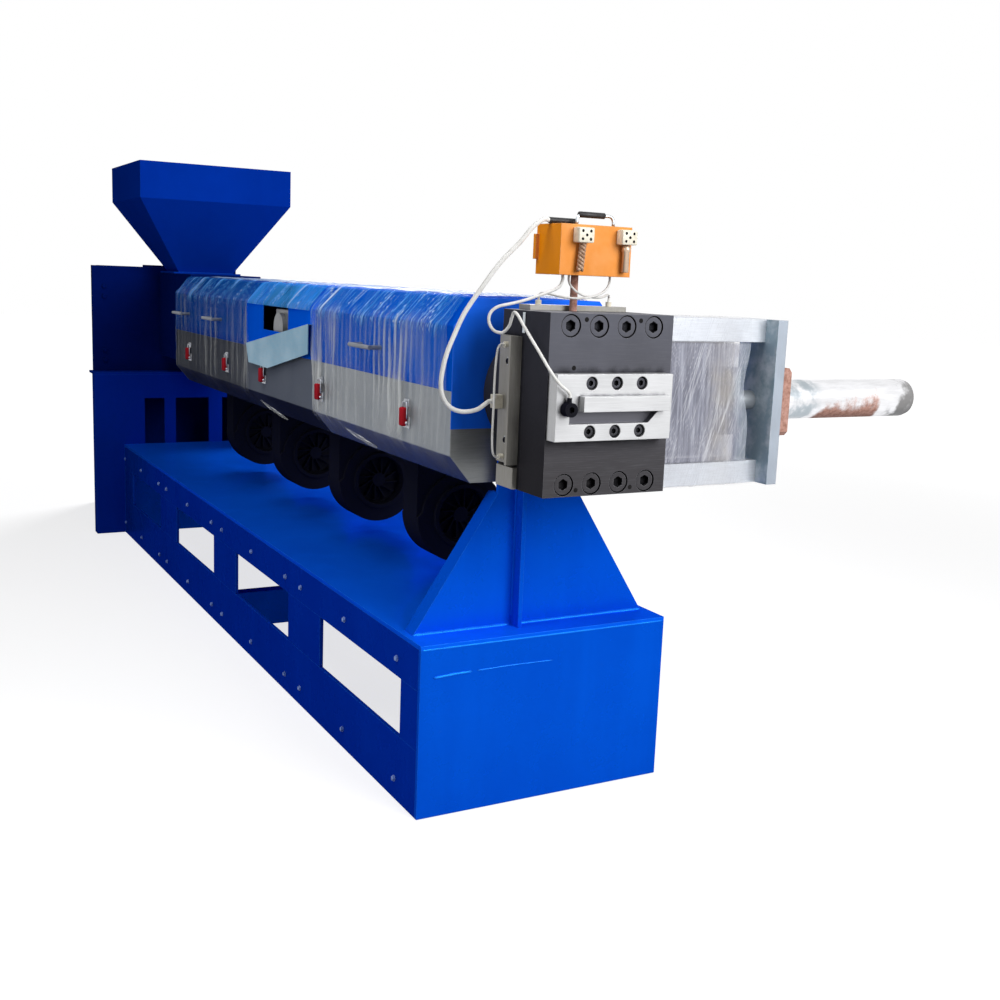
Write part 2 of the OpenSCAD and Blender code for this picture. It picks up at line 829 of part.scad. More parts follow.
// Wheel in the inlet: back plate, hub and leaning blades
module blower_wheel(x, depth) {
    hub_r = 26;
    plate_d = 4;
    blade_t = 4;
    blade_len = 48;
    blade_lean = 30;
    translate([x, 0, 0]) {
        rod_x(inlet_r - 6, 0, plate_d);
        rod_x(hub_r, 0, depth);
        for (k = [0:blade_count - 1])
            rotate([360 * k / blade_count, 0, 0])
                translate([0, -blade_t / 2, hub_r - 2])
                    rotate([blade_lean, 0, 0])
                        cube([depth - plate_d, blade_t, blade_len * inlet_r / 78]);
    }
}

// Scroll casing that hangs from the covers by its outlet neck, with its motor behind
module blower(number) {
    x1 = blower_front - (number - 1) * blower_pitch;
    x0 = x1 - blower_w;
    z = base_h + blower_axis_h;
    y = blower_shift;
    neck_w = 150;
    neck_inset = 10;
    inlet_d = 40;
    ring_w = 14;
    ring_t = 12;
    tongue_r = 0.9 * blower_r;
    cowl_len = 0.3 * motor_len;
    cowl_w = 5;
    plug_box = 30;
    color("#101114") {
        difference() {
            union() {
                along_x(x0, x1)
                    translate([y, z])
                        union() {
                            circle(r = tongue_r);
                            polygon(scroll(tongue_r, blower_r, 48));
                        }
                slab(x0 + neck_inset, x1 - neck_inset, y - blower_r, y - blower_r + neck_w,
                    z, cover_bottom);
                rod_x(inlet_r + ring_w, x1, x1 + ring_t, y, z);
            }
            rod_x(inlet_r, x1 - inlet_d, x1 + ring_t + 1, y, z);
        }
        translate([0, y, z])
            blower_wheel(x1 - inlet_d, inlet_d - ring_t);
        rod_x(motor_r, x0 - motor_len, x0, y, z);
        rod_x(motor_r + cowl_w, x0 - motor_len, x0 - motor_len + cowl_len, y, z);
        slab(x0 - 0.6 * motor_len, x0 - 0.2 * motor_len, y - plug_box, y + plug_box,
            z + 0.8 * motor_r, z + motor_r + 26);
    }
}

module blower_1() {
    blower(1);
}

module blower_2() {
    blower(2);
}

module blower_3() {
    blower(3);
}

module blower_4() {
    blower(4);
}

module die_rear_block() {
    color("#2c2d31")
        slab(base_front, block_front, -die_w / 2, die_w / 2, axis_z - die_h / 2, die_top);
}

// Calls its children at each of the eight big screws
module at_big_screws() {
    for (row = [-1, 1], i = [-1.5:1.5])
        translate([0, i * screw_pitch, axis_z + row * screw_row])
            children();
}

// Calls its children at each of the die plate's six screws
module at_plate_screws() {
    for (row = [-1, 1], i = [-1:1])
        translate([0, i * plate_screw_pitch - plate_screw_shift, axis_z + row * plate_screw_row])
            children();
}

module die_front_block() {
    color("#4b4c52")
        difference() {
            slab(block_front, die_front, -die_w / 2, die_w / 2, axis_z - die_h / 2, die_top);
            at_big_screws()
                rod_x(screw_head_r + head_clear, die_front - counterbore_d, die_front + 1);
        }
}

// Socket-head screws, seated in their counterbores
module die_screws() {
    plate_head_d = 16;
    sunk = 3;
    module head(r, x0, x1) {
        difference() {
            rod_x(r, x0, x1);
            translate([x1 - 0.55 * r, 0, 0])
                rotate([0, 90, 0])
                    cylinder(r = 0.6 * r, h = r, $fn = 6);
        }
    }
    color("#1b1c1f") {
        at_big_screws()
            head(screw_head_r, die_front - counterbore_d, die_front - sunk);
        at_plate_screws()
            head(plate_head_r, plate_front - plate_bore_d, plate_front - plate_bore_d + plate_head_d);
    }
}

// Bright die plate with a protruding lip and the slot below it
module die_plate() {
    mid = -die_plate_shift;
    lip_mid = 13;
    lip_z = axis_z - 8;
    slot_left = lip_mid - lip_len / 2 - 26;
    slot_right = lip_mid + lip_len / 2 - 16;
    color("#d8dade")
        difference() {
            union() {
                slab(die_front, plate_front, mid - die_plate_w / 2, mid + die_plate_w / 2,
                    axis_z - die_plate_h / 2, axis_z + die_plate_h / 2);
                slab(plate_front, plate_front + lip_reach, lip_mid - lip_len / 2, lip_mid + lip_len / 2,
                    lip_z, lip_z + lip_h);
            }
            along_x(plate_front - slot_d, plate_front + lip_reach + 1)
                polygon([[slot_left, lip_z - slot_h], [slot_right - slot_h, lip_z - slot_h],
                    [slot_right, lip_z], [slot_left, lip_z]]);
            at_plate_screws()
                rod_x(plate_bore_r, plate_front - plate_bore_d, plate_front + 1);
        }
}

// Clamp screw with a hexagon socket and the sleeve that the sensor's lead enters
module die_sensor() {
    knob_r = 18;
    knob_t = 26;
    sleeve_r = 6;
    sleeve_top = 27;
    socket_r = 9;
    y = -154;
    z = axis_z - 2;
    mid = plate_front + knob_t / 2;
    color("#17181b") {
        difference() {
            rod_x(knob_r, plate_front, plate_front + knob_t, y, z);
            translate([mid + 1, y, z])
                rotate([0, 90, 0])
                    cylinder(r = socket_r, h = knob_t, $fn = 6);
        }
        translate([mid, y, z + knob_r - 3])
            cylinder(r = sleeve_r, h = axis_z + sleeve_top - z - knob_r + 3);
    }
}

// Stainless heater plates on the near side and on top of the rear block
module plate_heater() {
    lip_t = 10;
    lip = 20;
    face = die_side - heater_t;
    foot = axis_z - heater_len / 2 - 1;
    head = axis_z + heater_len / 2 - 1;
    split = 8;
    color("#b6b3a8") {
        slab(heater_rear, heater_front, face, die_side, foot, head);
        slab(heater_front - lip_t, heater_front, face - lip, face, foot, head);
        slab(heater_rear + 4, heater_front, face, die_side,
            foot - split - short_heater_len, foot - split);
        slab(heater_rear + 2, heater_rear + 2 + top_heater_w, -top_heater_len / 2, top_heater_len / 2,
            die_top, die_top + heater_t);
    }
}

// Ceramic block and studs on the near heater, and studs on the top heater
module heater_terminals() {
    face = die_side - heater_t;
    block_x = heater_rear + 2;
    block_w = 24;
    block_h = 36;
    block_z = axis_z - 27;
    near_studs = [[heater_rear + 43, axis_z + 142], [heater_rear + 35, axis_z - 153]];
    top_stud_y = 110;
    color("#e6dfc8") {
        slab(block_x, block_x + block_w, face - block_w, face, block_z, block_z + block_h);
        for (p = near_studs)
            rod_y(stud_r, face - stud_h, face, p[0], p[1]);
        for (s = [-1, 1])
            translate([heater_rear + 33, s * top_stud_y, die_top + heater_t])
                cylinder(r = stud_r, h = stud_h);
    }
}

module changer_bars() {
    color("#9aa0a6")
        for (s = [-1, 1])
            slab(bars_front - bar_d, bars_front, die_w / 2, die_w / 2 + bar_len,
                changer_z + s * bar_row - bar_h / 2, changer_z + s * bar_row + bar_h / 2);
}

// Screen slide with its rod, between the bars
module changer_slide() {
    slide_end = bars_end - 60;
    slide_half_x = 28;
    slide_half_z = 95;
    color("#8a8d92") {
        slab(changer_x - slide_half_x, changer_x + slide_half_x, die_w / 2, slide_end,
            changer_z - slide_half_z, changer_z + slide_half_z);
        rod_y(slide_half_x, slide_end, bars_end, changer_x, changer_z);
    }
}

module changer_end_plate() {
    half = bar_row + bar_h / 2;
    color("#8f969e")
        slab(end_plate_front - end_plate_d, end_plate_front, bars_end, bars_end + end_plate_t,
            changer_z - half, changer_z + half);
}

// Square flange that holds the cylinder to the end plate, with its corners cut
module changer_flange() {
    y = bars_end + end_plate_t;
    half_x = 0.8 * cyl_flange_half;
    corner = 12;
    low = changer_z - cyl_flange_half;
    high = changer_z + cyl_flange_half;
    left = changer_x - half_x;
    right = changer_x + half_x;
    color("#b58a7c")
        along_y(y, y + cyl_flange_t)
            polygon([[left + corner, low], [right - corner, low], [right, low + corner],
                [right, high - corner], [right - corner, high], [left + corner, high],
                [left, high - corner], [left, low + corner]]);
}

module changer_tube() {
    y = bars_end + end_plate_t + cyl_flange_t;
    cap_inset = 4;
    color("#b9a69a") {
        rod_y(tube_r, y, y + tube_len, changer_x, changer_z);
        rod_y(tube_r - cap_inset, y + tube_len, y + tube_len + tube_cap_t, changer_x, changer_z);
    }
}

// Folded sheet box with a hinge strip down its rear corner
module terminal_box() {
    strip_t = 12;
    strip_reach = 10;
    color("#e8923a") {
        slab(box_front - box_d, box_front, box_left, box_right, box_z, box_top);
        slab(box_front - box_d, box_front - box_d + strip_t, box_left - strip_reach, box_left,
            box_z + 0.3 * box_h, box_z + 0.8 * box_h);
    }
}

module box_post() {
    post_shift = 24;
    color("#a85a32")
        translate([box_cx, box_cy - post_shift, die_top])
            cylinder(r = post_r, h = post_h);
}

// Grip on two bent legs that run down into the box's top
module box_handle() {
    half = 62;
    rise = 26;
    leg_r = 4;
    grip_r = 8;
    x = box_cx + 30;
    y = box_cy + 12;
    color("#1b1c1f") {
        for (s = [-1, 1])
            translate([x, y + s * (half - grip_r), box_top])
                cylinder(r = leg_r, h = rise);
        rod_y(grip_r, y - half, y + half, x, box_top + rise);
    }
}

// Ceramic plugs on the front of the box, with their sheathed tails
module box_plugs() {
    plug_w = 46;
    plug_h = 38;
    plug_d = 30;
    plug_drop = 8;
    tail_r = 13;
    tail_foot = box_z + 12;
    plug_foot = box_top - plug_drop - plug_h;
    left_inset = 36;
    right_inset = 2;
    color("#efece2")
        for (y = [box_left + left_inset, box_right - right_inset - plug_w]) {
            slab(box_front, box_front + plug_d, y, y + plug_w, plug_foot, plug_foot + plug_h);
            translate([box_front + tail_r, y + plug_w / 2, tail_foot])
                cylinder(r = tail_r, h = plug_foot - tail_foot);
        }
}

// Black sleeve on top of the box that the heater's lead comes out of
module box_gland() {
    r = 8;
    overhang = 4;
    length = 84;
    color("#17181b")
        rod_y(r, box_left - overhang, box_left - overhang + length, box_cx + 5, box_top + r);
}

module lead_heater() {
    color("#f2f2ee")
        swept_lead(heater_route, heater_lead_d, 10);
}

module lead_jumper() {
    color("#ecebe4")
        swept_lead(jumper_route, thin_lead_d, 8);
}

module lead_sensor() {
    color("#dcdcd8")
        swept_lead(sensor_route, sensor_lead_d, 8);
}

module lead_top_near() {
    color("#ecebe4")
        swept_lead(top_near_route, thin_lead_d, 8);
}

module lead_top_far() {
    color("#ecebe4")
        swept_lead(top_far_route, thin_lead_d, 8);
}

base_cross_members();
base_near_rails();
base_near_posts();
base_far_rails();
base_far_posts();
base_end_panels();
base_deck();
front_support();
stand_front();
stand_side_walls();
stand_rear_wall();
stand_top_plate();
gearbox_housing();
gearbox_lid();
gearbox_output_cover();
gearbox_input_shaft();
feed_block();
feed_screw();
hopper();
barrel();
cover_upper_front();
cover_upper_middle();
cover_upper_rear();
cover_lower_front();
cover_lower_middle();
cover_lower_rear();
cover_end_plates();
cover_handles();
cover_latches();
vent_port();
vent_plate();
blower_1();
blower_2();
blower_3();
blower_4();
die_rear_block();
die_front_block();
die_screws();
die_plate();
die_sensor();
plate_heater();
heater_terminals();
changer_bars();
changer_slide();
changer_end_plate();
changer_flange();
changer_tube();
terminal_box();
box_post();
box_handle();
box_plugs();
box_gland();
lead_heater();
lead_jumper();
lead_sensor();
lead_top_near();
lead_top_far();
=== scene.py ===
import math

import bmesh
import bpy
import numpy as np
from mathutils import Matrix, Vector


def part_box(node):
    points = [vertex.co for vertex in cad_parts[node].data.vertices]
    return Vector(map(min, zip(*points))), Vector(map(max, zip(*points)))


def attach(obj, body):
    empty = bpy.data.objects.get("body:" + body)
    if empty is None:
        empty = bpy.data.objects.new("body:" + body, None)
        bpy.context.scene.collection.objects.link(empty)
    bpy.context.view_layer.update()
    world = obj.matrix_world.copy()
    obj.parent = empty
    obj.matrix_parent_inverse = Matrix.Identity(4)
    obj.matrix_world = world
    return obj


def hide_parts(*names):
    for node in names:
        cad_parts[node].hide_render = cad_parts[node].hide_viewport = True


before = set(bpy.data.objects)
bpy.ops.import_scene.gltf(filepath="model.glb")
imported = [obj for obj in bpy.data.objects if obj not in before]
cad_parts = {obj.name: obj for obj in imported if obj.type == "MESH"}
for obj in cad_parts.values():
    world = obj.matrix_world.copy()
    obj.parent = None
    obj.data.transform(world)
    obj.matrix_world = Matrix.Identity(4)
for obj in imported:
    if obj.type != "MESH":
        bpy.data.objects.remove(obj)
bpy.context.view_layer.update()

# Studio
# A pale shop floor under soft lamps: a large one in front of the die, one overhead, a weak one at
# the near side and one behind. The camera stands off the near front corner at eye height.
eye = Vector((4.7064, -1.6992, 1.4708))
yaw, pitch, roll = 0.5066, 0.1730, 0.0399
look = Vector((-math.cos(yaw) * math.cos(pitch), math.sin(yaw) * math.cos(pitch), -math.sin(pitch)))
level = look.cross(Vector((0, 0, 1))).normalized()
rise = level.cross(look)
right = math.cos(roll) * level + math.sin(roll) * rise
upward = math.cos(roll) * rise - math.sin(roll) * level
camera = bpy.data.objects.new("camera", bpy.data.cameras.new("camera"))
camera.matrix_world = Matrix((right, upward, -look)).transposed().to_4x4()
camera.location = eye
camera.data.lens = 42.597
camera.data.sensor_width = 36.0
camera.data.shift_x = -0.00277
camera.data.shift_y = -0.01372
camera.data.clip_end = 200.0
bpy.context.scene.collection.objects.link(camera)
bpy.context.scene.camera = camera
bpy.context.scene.view_settings.view_transform = "Standard"


def soft_lamp(name, place, aim, size, power, spread=180):
    """Square area lamp at place, turned so that it faces aim, its light kept within spread degrees."""
    lamp = bpy.data.lights.new(name, "AREA")
    lamp.shape = "SQUARE"
    lamp.size = size
    lamp.energy = power
    lamp.spread = math.radians(spread)
    body = bpy.data.objects.new(name, lamp)
    body.location = place
    body.rotation_euler = (Vector(aim) - Vector(place)).to_track_quat("-Z", "Y").to_euler()
    bpy.context.scene.collection.objects.link(body)


soft_lamp("front_lamp", (5.4, 1.2, 2.9), (1.8, 0.0, 0.9), 2.6, 190)
soft_lamp("top_lamp", (1.7, -2.0, 4.6), (1.2, 0.0, 0.6), 3.0, 37, 110)
soft_lamp("near_lamp", (2.8, -5.6, 3.2), (1.7, 0.0, 1.2), 2.0, 6, 70)
soft_lamp("rear_lamp", (-5.6, 3.0, 4.8), (-2.0, 0.0, 1.1), 2.4, 110, 110)


def set_input(socket, value):
    """Links a socket to an input, or sets the input to a number, a vector or an RGB colour."""
    if isinstance(value, bpy.types.NodeSocket):
        socket.id_data.links.new(value, socket)
    elif socket.type == "RGBA":
        socket.default_value = (*value, 1.0)
    else:
        socket.default_value = value


def feed(node, **inputs):
    """Links or sets a node's inputs by name, with _ for a space."""
    for key, value in inputs.items():
        set_input(node.inputs[key.replace("_", " ")], value)


def first_socket(*values):
    """The first socket among some values."""
    return next(value for value in values if isinstance(value, bpy.types.NodeSocket))


def add_node(beside, kind, inputs=(), **options):
    """Adds a shader node to the tree of another node or a socket, with its options and inputs."""
    node = beside.id_data.nodes.new("ShaderNode" + kind)
    for key, value in options.items():
        setattr(node, key, value)
    for key, value in dict(inputs).items():
        set_input(node.inputs[key], value)
    return node


def math_node(operation, *values):
    """Result of one arithmetic step on sockets and numbers."""
    return add_node(first_socket(*values), "Math", enumerate(values), operation=operation).outputs[0]


def span_of(value, low, high, to_low=0.0, to_high=1.0):
    """Maps a value from low..high to to_low..to_high, clamped, as a smooth step."""
    limits = {"Value": value, "From Min": low, "From Max": high, "To Min": to_low, "To Max": to_high}
    return add_node(value, "MapRange", limits, interpolation_type="SMOOTHSTEP").outputs["Result"]


fill_level = 0.12
world = bpy.data.worlds.new("studio")
bpy.context.scene.world = world
world.use_nodes = True
backdrop = world.node_tree.nodes["Background"]
rays = add_node(backdrop, "LightPath").outputs
seen = math_node("MAXIMUM", rays["Is Camera Ray"], rays["Is Glossy Ray"])
seen = math_node("MAXIMUM", seen, rays["Is Transmission Ray"])
feed(backdrop, Color=(1.0, 1.0, 1.0),
     Strength=math_node("MULTIPLY_ADD", seen, 1.0 - fill_level, fill_level))


def finish(name, **constants):
    """New material: returns it with its Principled BSDF, constants set there, and its Object coordinates."""
    material = bpy.data.materials.new(name)
    material.use_nodes = True
    shader = material.node_tree.nodes["Principled BSDF"]
    feed(shader, **constants)
    return material, shader, add_node(shader, "TexCoord").outputs["Object"]


def lay_grid(name, points, close_v=False, weld=False, smooth=True):
    """Mesh on points[copy, u, v]: each quad joins neighbours in u and v; weld closes seams and poles."""
    points = np.asarray(points, float)
    if points.ndim == 3:
        points = points[None]
    copies, nu, nv = points.shape[:3]
    i = np.arange(nu - 1)[:, None]
    j = np.arange(nv if close_v else nv - 1)[None, :]
    j2 = (j + 1) % nv
    quads = np.stack([i * nv + j, (i + 1) * nv + j, (i + 1) * nv + j2, i * nv + j2], -1).reshape(-1, 4)
    quads = (quads[None] + (np.arange(copies) * nu * nv)[:, None, None]).reshape(-1, 4)
    mesh = bpy.data.meshes.new(name)
    mesh.from_pydata(points.reshape(-1, 3).tolist(), [], quads.tolist())
    if weld:
        shell = bmesh.new()
        shell.from_mesh(mesh)
        bmesh.ops.remove_doubles(shell, verts=shell.verts, dist=1e-6)
        bmesh.ops.dissolve_degenerate(shell, edges=shell.edges, dist=1e-7)
        bmesh.ops.recalc_face_normals(shell, faces=shell.faces)
        shell.to_mesh(mesh)
        shell.free()
    mesh.polygons.foreach_set("use_smooth", np.full(len(mesh.polygons), smooth))
    piece = bpy.data.objects.new(name, mesh)
    bpy.context.scene.collection.objects.link(piece)
    return piece


floor_half, floor_z = 30.0, -0.002
floor_span = np.linspace(-floor_half, floor_half, 9)
floor_x, floor_y = np.meshgrid(floor_span, floor_span, indexing="ij")
floor = lay_grid("floor", np.stack([floor_x, floor_y, np.full_like(floor_x, floor_z)], -1))
pale_floor, shader, place = finish("pale_floor", Roughness=0.9, Specular_IOR_Level=0.1,
                                   Base_Color=(0.40, 0.40, 0.405), Emission_Color=(1.0, 1.0, 1.0))
reach = add_node(place, "VectorMath", {0: place}, operation="LENGTH").outputs["Value"]
rays = add_node(place, "LightPath").outputs
floor_seen = math_node("MAXIMUM", rays["Is Camera Ray"], rays["Is Glossy Ray"])
feed(shader, Emission_Strength=math_node("MULTIPLY", span_of(reach, 3.2, 8.5, 0.74, 1.0), floor_seen))
floor.data.materials.append(pale_floor)

# Welded base
# Plate cut and welded into a box with windows, painted with gloss blue enamel that shows the
# spray's orange peel, faint dust and paler worn corners. The deck closes the top.


def effect_group(name, inputs, outputs):
    """Starts a shader node group whose sockets are given as label: kind. Returns the group, the sockets it
    is given and the node that it puts its results into."""
    group = bpy.data.node_groups.new(name, "ShaderNodeTree")
    for way, sockets in (("INPUT", inputs), ("OUTPUT", outputs)):
        for label, kind in sockets.items():
            group.interface.new_socket(label, in_out=way, socket_type="NodeSocket" + kind)
    return group, group.nodes.new("NodeGroupInput").outputs, group.nodes.new("NodeGroupOutput")


def use_group(group, **inputs):
    """Places a node group beside the sockets it is given, and returns what it puts out."""
    node = add_node(first_socket(*inputs.values()), "Group", node_tree=group)
    feed(node, **inputs)
    return node.outputs


def noise(vector, scale, detail=3.0, rough=0.55):
    """Fractal noise value at a vector socket."""
    inputs = {"Vector": vector, "Scale": scale, "Detail": detail, "Roughness": rough}
    return add_node(vector, "TexNoise", inputs).outputs["Fac"]


def blend(amount, first, second, mode="MIX"):
    """Colour between first and second by amount."""
    beside = first_socket(amount, first, second)
    inputs = {0: amount, 6: first, 7: second}
    return add_node(beside, "Mix", inputs, data_type="RGBA", blend_type=mode).outputs[2]


def stretched(vector, scale, turn=(0.0, 0.0, 0.0)):
    """Vector scaled by a factor along each axis and then turned, to draw a pattern out."""
    inputs = {"Vector": vector, "Rotation": turn, "Scale": scale}
    return add_node(vector, "Mapping", inputs).outputs["Vector"]


def product(first, *others):
    """Product of sockets and numbers."""
    for other in others:
        first = math_node("MULTIPLY", first, other)
    return first


enamel_coat, given, put = effect_group(
    "enamel_coat", {"Vector": "Vector", "Colour": "Color", "Gloss": "Float"},
    {"Colour": "Color", "Roughness": "Float", "Height": "Float"})
place = given["Vector"]
paint = given["Colour"]
cloud = span_of(noise(place, 2.2, 4.0), 0.3, 0.75, 0.0, 0.5)
runs = span_of(noise(stretched(place, (9.0, 9.0, 0.8)), 1.0), 0.5, 0.8, 0.0, 0.3)
dust = span_of(noise(place, 46.0, 5.0, 0.7), 0.66, 0.82, 0.0, 0.05)
smudge = span_of(noise(place, 5.0, 5.0, 0.65), 0.3, 0.8, -0.05, 0.13)
tone = blend(cloud, paint, blend(1.0, paint, (0.6, 0.68, 0.8), "MULTIPLY"))
tone = blend(runs, tone, blend(1.0, paint, (1.3, 1.3, 1.2), "MULTIPLY"))
peel = noise(place, 230.0, 1.0)
ripple = noise(place, 14.0, 2.0)
feed(put, Colour=blend(dust, tone, (0.30, 0.34, 0.42)), Roughness=math_node("ADD", given["Gloss"], smudge),
     Height=math_node("MULTIPLY_ADD", ripple, 6.0, peel))

edge_wear, given, put = effect_group(
    "edge_wear", {"Round Normal": "Vector", "Flat Normal": "Vector", "Vector": "Vector", "Reach": "Float"},
    {"Mask": "Float"})
normals = {0: given["Round Normal"], 1: given["Flat Normal"]}
turn = add_node(put, "VectorMath", normals, operation="DOT_PRODUCT").outputs["Value"]
bend = math_node("SUBTRACT", 1.0, turn)
rubbed = product(bend, noise(given["Vector"], 38.0, 4.0, 0.7), given["Reach"])
feed(put, Mask=span_of(rubbed, 0.02, 0.12))


def round_normal(place, radius):
    """Normal that rounds sharp corners over radius metres."""
    return add_node(place, "Bevel", {"Radius": radius}, samples=4).outputs["Normal"]


def worn_edges(place, soft, reach):
    """Mask of the corners, where the rounded normal leaves the flat one, broken up by chips."""
    flat = add_node(place, "NewGeometry").outputs["Normal"]
    return use_group(edge_wear, Round_Normal=soft, Flat_Normal=flat, Vector=place, Reach=reach)["Mask"]


def bump(height, strength, distance, normal=None):
    """Normal disturbed by a height of distance metres, on top of another normal where one is given."""
    relief = add_node(height, "Bump", {"Height": height, "Strength": strength, "Distance": distance})
    if normal is not None:
        feed(relief, Normal=normal)
    return relief.outputs["Normal"]


def enamel(name, colour, worn, gloss=0.26, corner=0.003, reach=0.6, shine=0.16):
    """Sprayed enamel: mottled colour, worn corners and orange peel; shine is the share that mirrors."""
    material, shader, place = finish(name, Metallic=shine, Specular_IOR_Level=0.0,
                                     Specular_Tint=(0.03, 0.16, 0.6))
    coat = use_group(enamel_coat, Vector=place, Colour=colour, Gloss=gloss)
    soft = round_normal(place, corner)
    feed(shader, Base_Color=blend(worn_edges(place, soft, reach), coat["Colour"], worn),
         Roughness=coat["Roughness"], Normal=bump(coat["Height"], 0.22, 0.0006, soft))
    return material


def dress(material, *names):
    """Gives CAD nodes a material in every slot."""
    for name in names:
        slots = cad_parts[name].data.materials
        slots.clear()
        slots.append(material)


blue_enamel = enamel("blue_enamel", (0.001, 0.088, 0.66), (0.04, 0.24, 0.95))
dress(blue_enamel, "base_cross_members", "base_end_panels", "front_support")
# The deck gets a brighter, glossier copy of the blue enamel: painted light on the deck in the covers' shade.
lit_deck_enamel = enamel("lit_deck_enamel", (0.002, 0.115, 0.86), (0.04, 0.26, 0.95), gloss=0.14, shine=0.2)
dress(lit_deck_enamel, "base_deck")
# The rails and posts on both sides get a darker copy of the blue enamel: painted shade.
shaded_rail_enamel = enamel("shaded_rail_enamel", (0.001, 0.040, 0.42), (0.03, 0.18, 0.8))
dress(shaded_rail_enamel, "base_near_rails", "base_near_posts", "base_far_rails", "base_far_posts")

# Rail bolts
# Zinc-plated hexagon bolts with washers that hold the closing panels to the rails, three above
# and three below each window, on both sides.


def ridden(piece, slot, material, *nodes):
    """Fixes a new piece to the machine with its finish, and hides the nodes it stands for. The slot is not
    used.
    """
    piece.data.materials.clear()
    piece.data.materials.append(material)
    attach(piece, "root")
    if nodes:
        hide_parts(*nodes)
    return piece


def ring_piece(name, rings, slot, material, *nodes, smooth=True):
    """Piece made of closed rings in a row, welded at its seams and poles and fixed to the machine."""
    return ridden(lay_grid(name, rings, close_v=True, weld=True, smooth=smooth), slot, material, *nodes)


def spokes(first, second, sides):
    """Directions first cos a + second sin a at even angles a round a circle."""
    angle = np.linspace(0.0, 2 * np.pi, sides, endpoint=False)[:, None]
    return np.cos(angle) * first[..., None, :] + np.sin(angle) * second[..., None, :]


def turned(profile, centres, axis, sides=24):
    """Solid of revolution at each centre: a profile row (r, h) is the ring centre + h axis + r spokes."""
    profile = np.asarray(profile, float)
    axis = np.asarray(axis, float)
    across = np.cross(axis, (0.0, 0.0, 1.0) if abs(axis[2]) < 0.9 else (1.0, 0.0, 0.0))
    across /= np.linalg.norm(across)
    rim = spokes(across, np.cross(axis, across), sides)
    shape = profile[:, 0, None, None] * rim + profile[:, 1, None, None] * axis
    return np.asarray(centres, float)[:, None, None, :] + shape[None]


def washer_profile(radius, thick):
    """Profile of a flat round washer."""
    return [(0.0, 0.0), (radius, 0.0), (radius, thick), (0.0, thick)]


def head_profile(radius, foot, top, draw, drop):
    """Profile of a bolt head from foot to top, its upper rim drawn in by draw over the last drop."""
    return [(0.0, foot), (radius, foot), (radius, top - drop), (radius - draw, top), (0.0, top)]


def speckled(name, scale, first, second, low=0.35, high=0.7, detail=4.0, rough=None, **constants):
    """Finish whose colour goes from first to second by noise of one scale, and its roughness by rough."""
    material, shader, place = finish(name, **constants)
    spots = noise(place, scale, detail)
    feed(shader, Base_Color=blend(span_of(spots, low, high), first, second))
    if rough:
        feed(shader, Roughness=span_of(spots, *rough))
    return material


base_lo, base_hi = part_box("base_deck")
bolt_first, bolt_bay, bolt_step = 1.795, 0.970, 0.405
bolt_rows = (0.416, 0.060)
bolt_x = (bolt_first - bolt_bay * np.arange(4)[:, None] - bolt_step * np.arange(3)[None, :]).reshape(-1)
bolt_places = np.array([(x, base_lo.y, z) for x in bolt_x for z in bolt_rows])
washer_thick = 0.0018
washer = washer_profile(0.0092, washer_thick)
bolt_head = head_profile(0.0074, washer_thick, 0.0070, 0.001, 0.001)
dull_zinc = speckled("dull_zinc", 40.0, (0.07, 0.14, 0.40), (0.26, 0.36, 0.66), rough=(0.3, 0.7, 0.35, 0.6),
                     Metallic=0.35, Specular_IOR_Level=0.1)
for side, out in (("near", -1.0), ("far", 1.0)):
    places = bolt_places * (1.0, -out, 1.0)
    for label, profile, sides in (("rail_bolts_", bolt_head, 6), ("rail_washers_", washer, 20)):
        rings = turned(profile, places, (0.0, out, 0.0), sides)
        ring_piece(label + side, rings, "machined_steel", dull_zinc, smooth=False)

# Weld beads
# Hand-laid fillet welds under the paint: along the support's foot, where the front panel meets the
# deck, and up the rib. Each bead is a row of overlapping scales. A crease runs across the panel.


def evenly(path, count):
    """Points at equal steps of length along a polyline, and the length that has run at each."""
    path = np.asarray(path, float)
    run = np.concatenate([[0.0], np.cumsum(np.linalg.norm(np.diff(path, axis=0), axis=1))])
    s = np.linspace(0.0, run[-1], count)
    return np.stack([np.interp(s, run, column) for column in path.T], -1), s


def headings(line):
    """Unit tangent at each point of a line."""
    tangent = np.gradient(line, axis=0)
    return tangent / np.linalg.norm(tangent, axis=1)[:, None]


def weld_bead(name, radius, out, paint, pitch, seed, path):
    """Bead along path: rings of radius r (1 + 0.22 |sin(pi s / pitch)| + 0.1 drift), s the length run and
    drift a line through random heights, drawn in to a point at both ends."""
    length = np.linalg.norm(np.diff(path, axis=0), axis=1).sum()
    line, s = evenly(path, max(int(length / (pitch / 5)), 8))
    steps = np.random.default_rng(seed).normal(0.0, 1.0, 40)
    drift = np.interp(s, np.linspace(0.0, s[-1], 40), steps)
    thick = radius * (1.0 + 0.22 * np.abs(np.sin(np.pi * s / pitch)) + 0.10 * drift)
    thick *= np.clip(np.minimum(s, s[-1] - s) / (2 * radius), 0.0, 1.0) ** 0.5
    out = np.asarray(out, float) / np.linalg.norm(out)
    rim = spokes(out, np.cross(headings(line), out), 10)
    ring_piece(name, line[:, None, :] + thick[:, None, None] * rim, "blue_paint", paint)


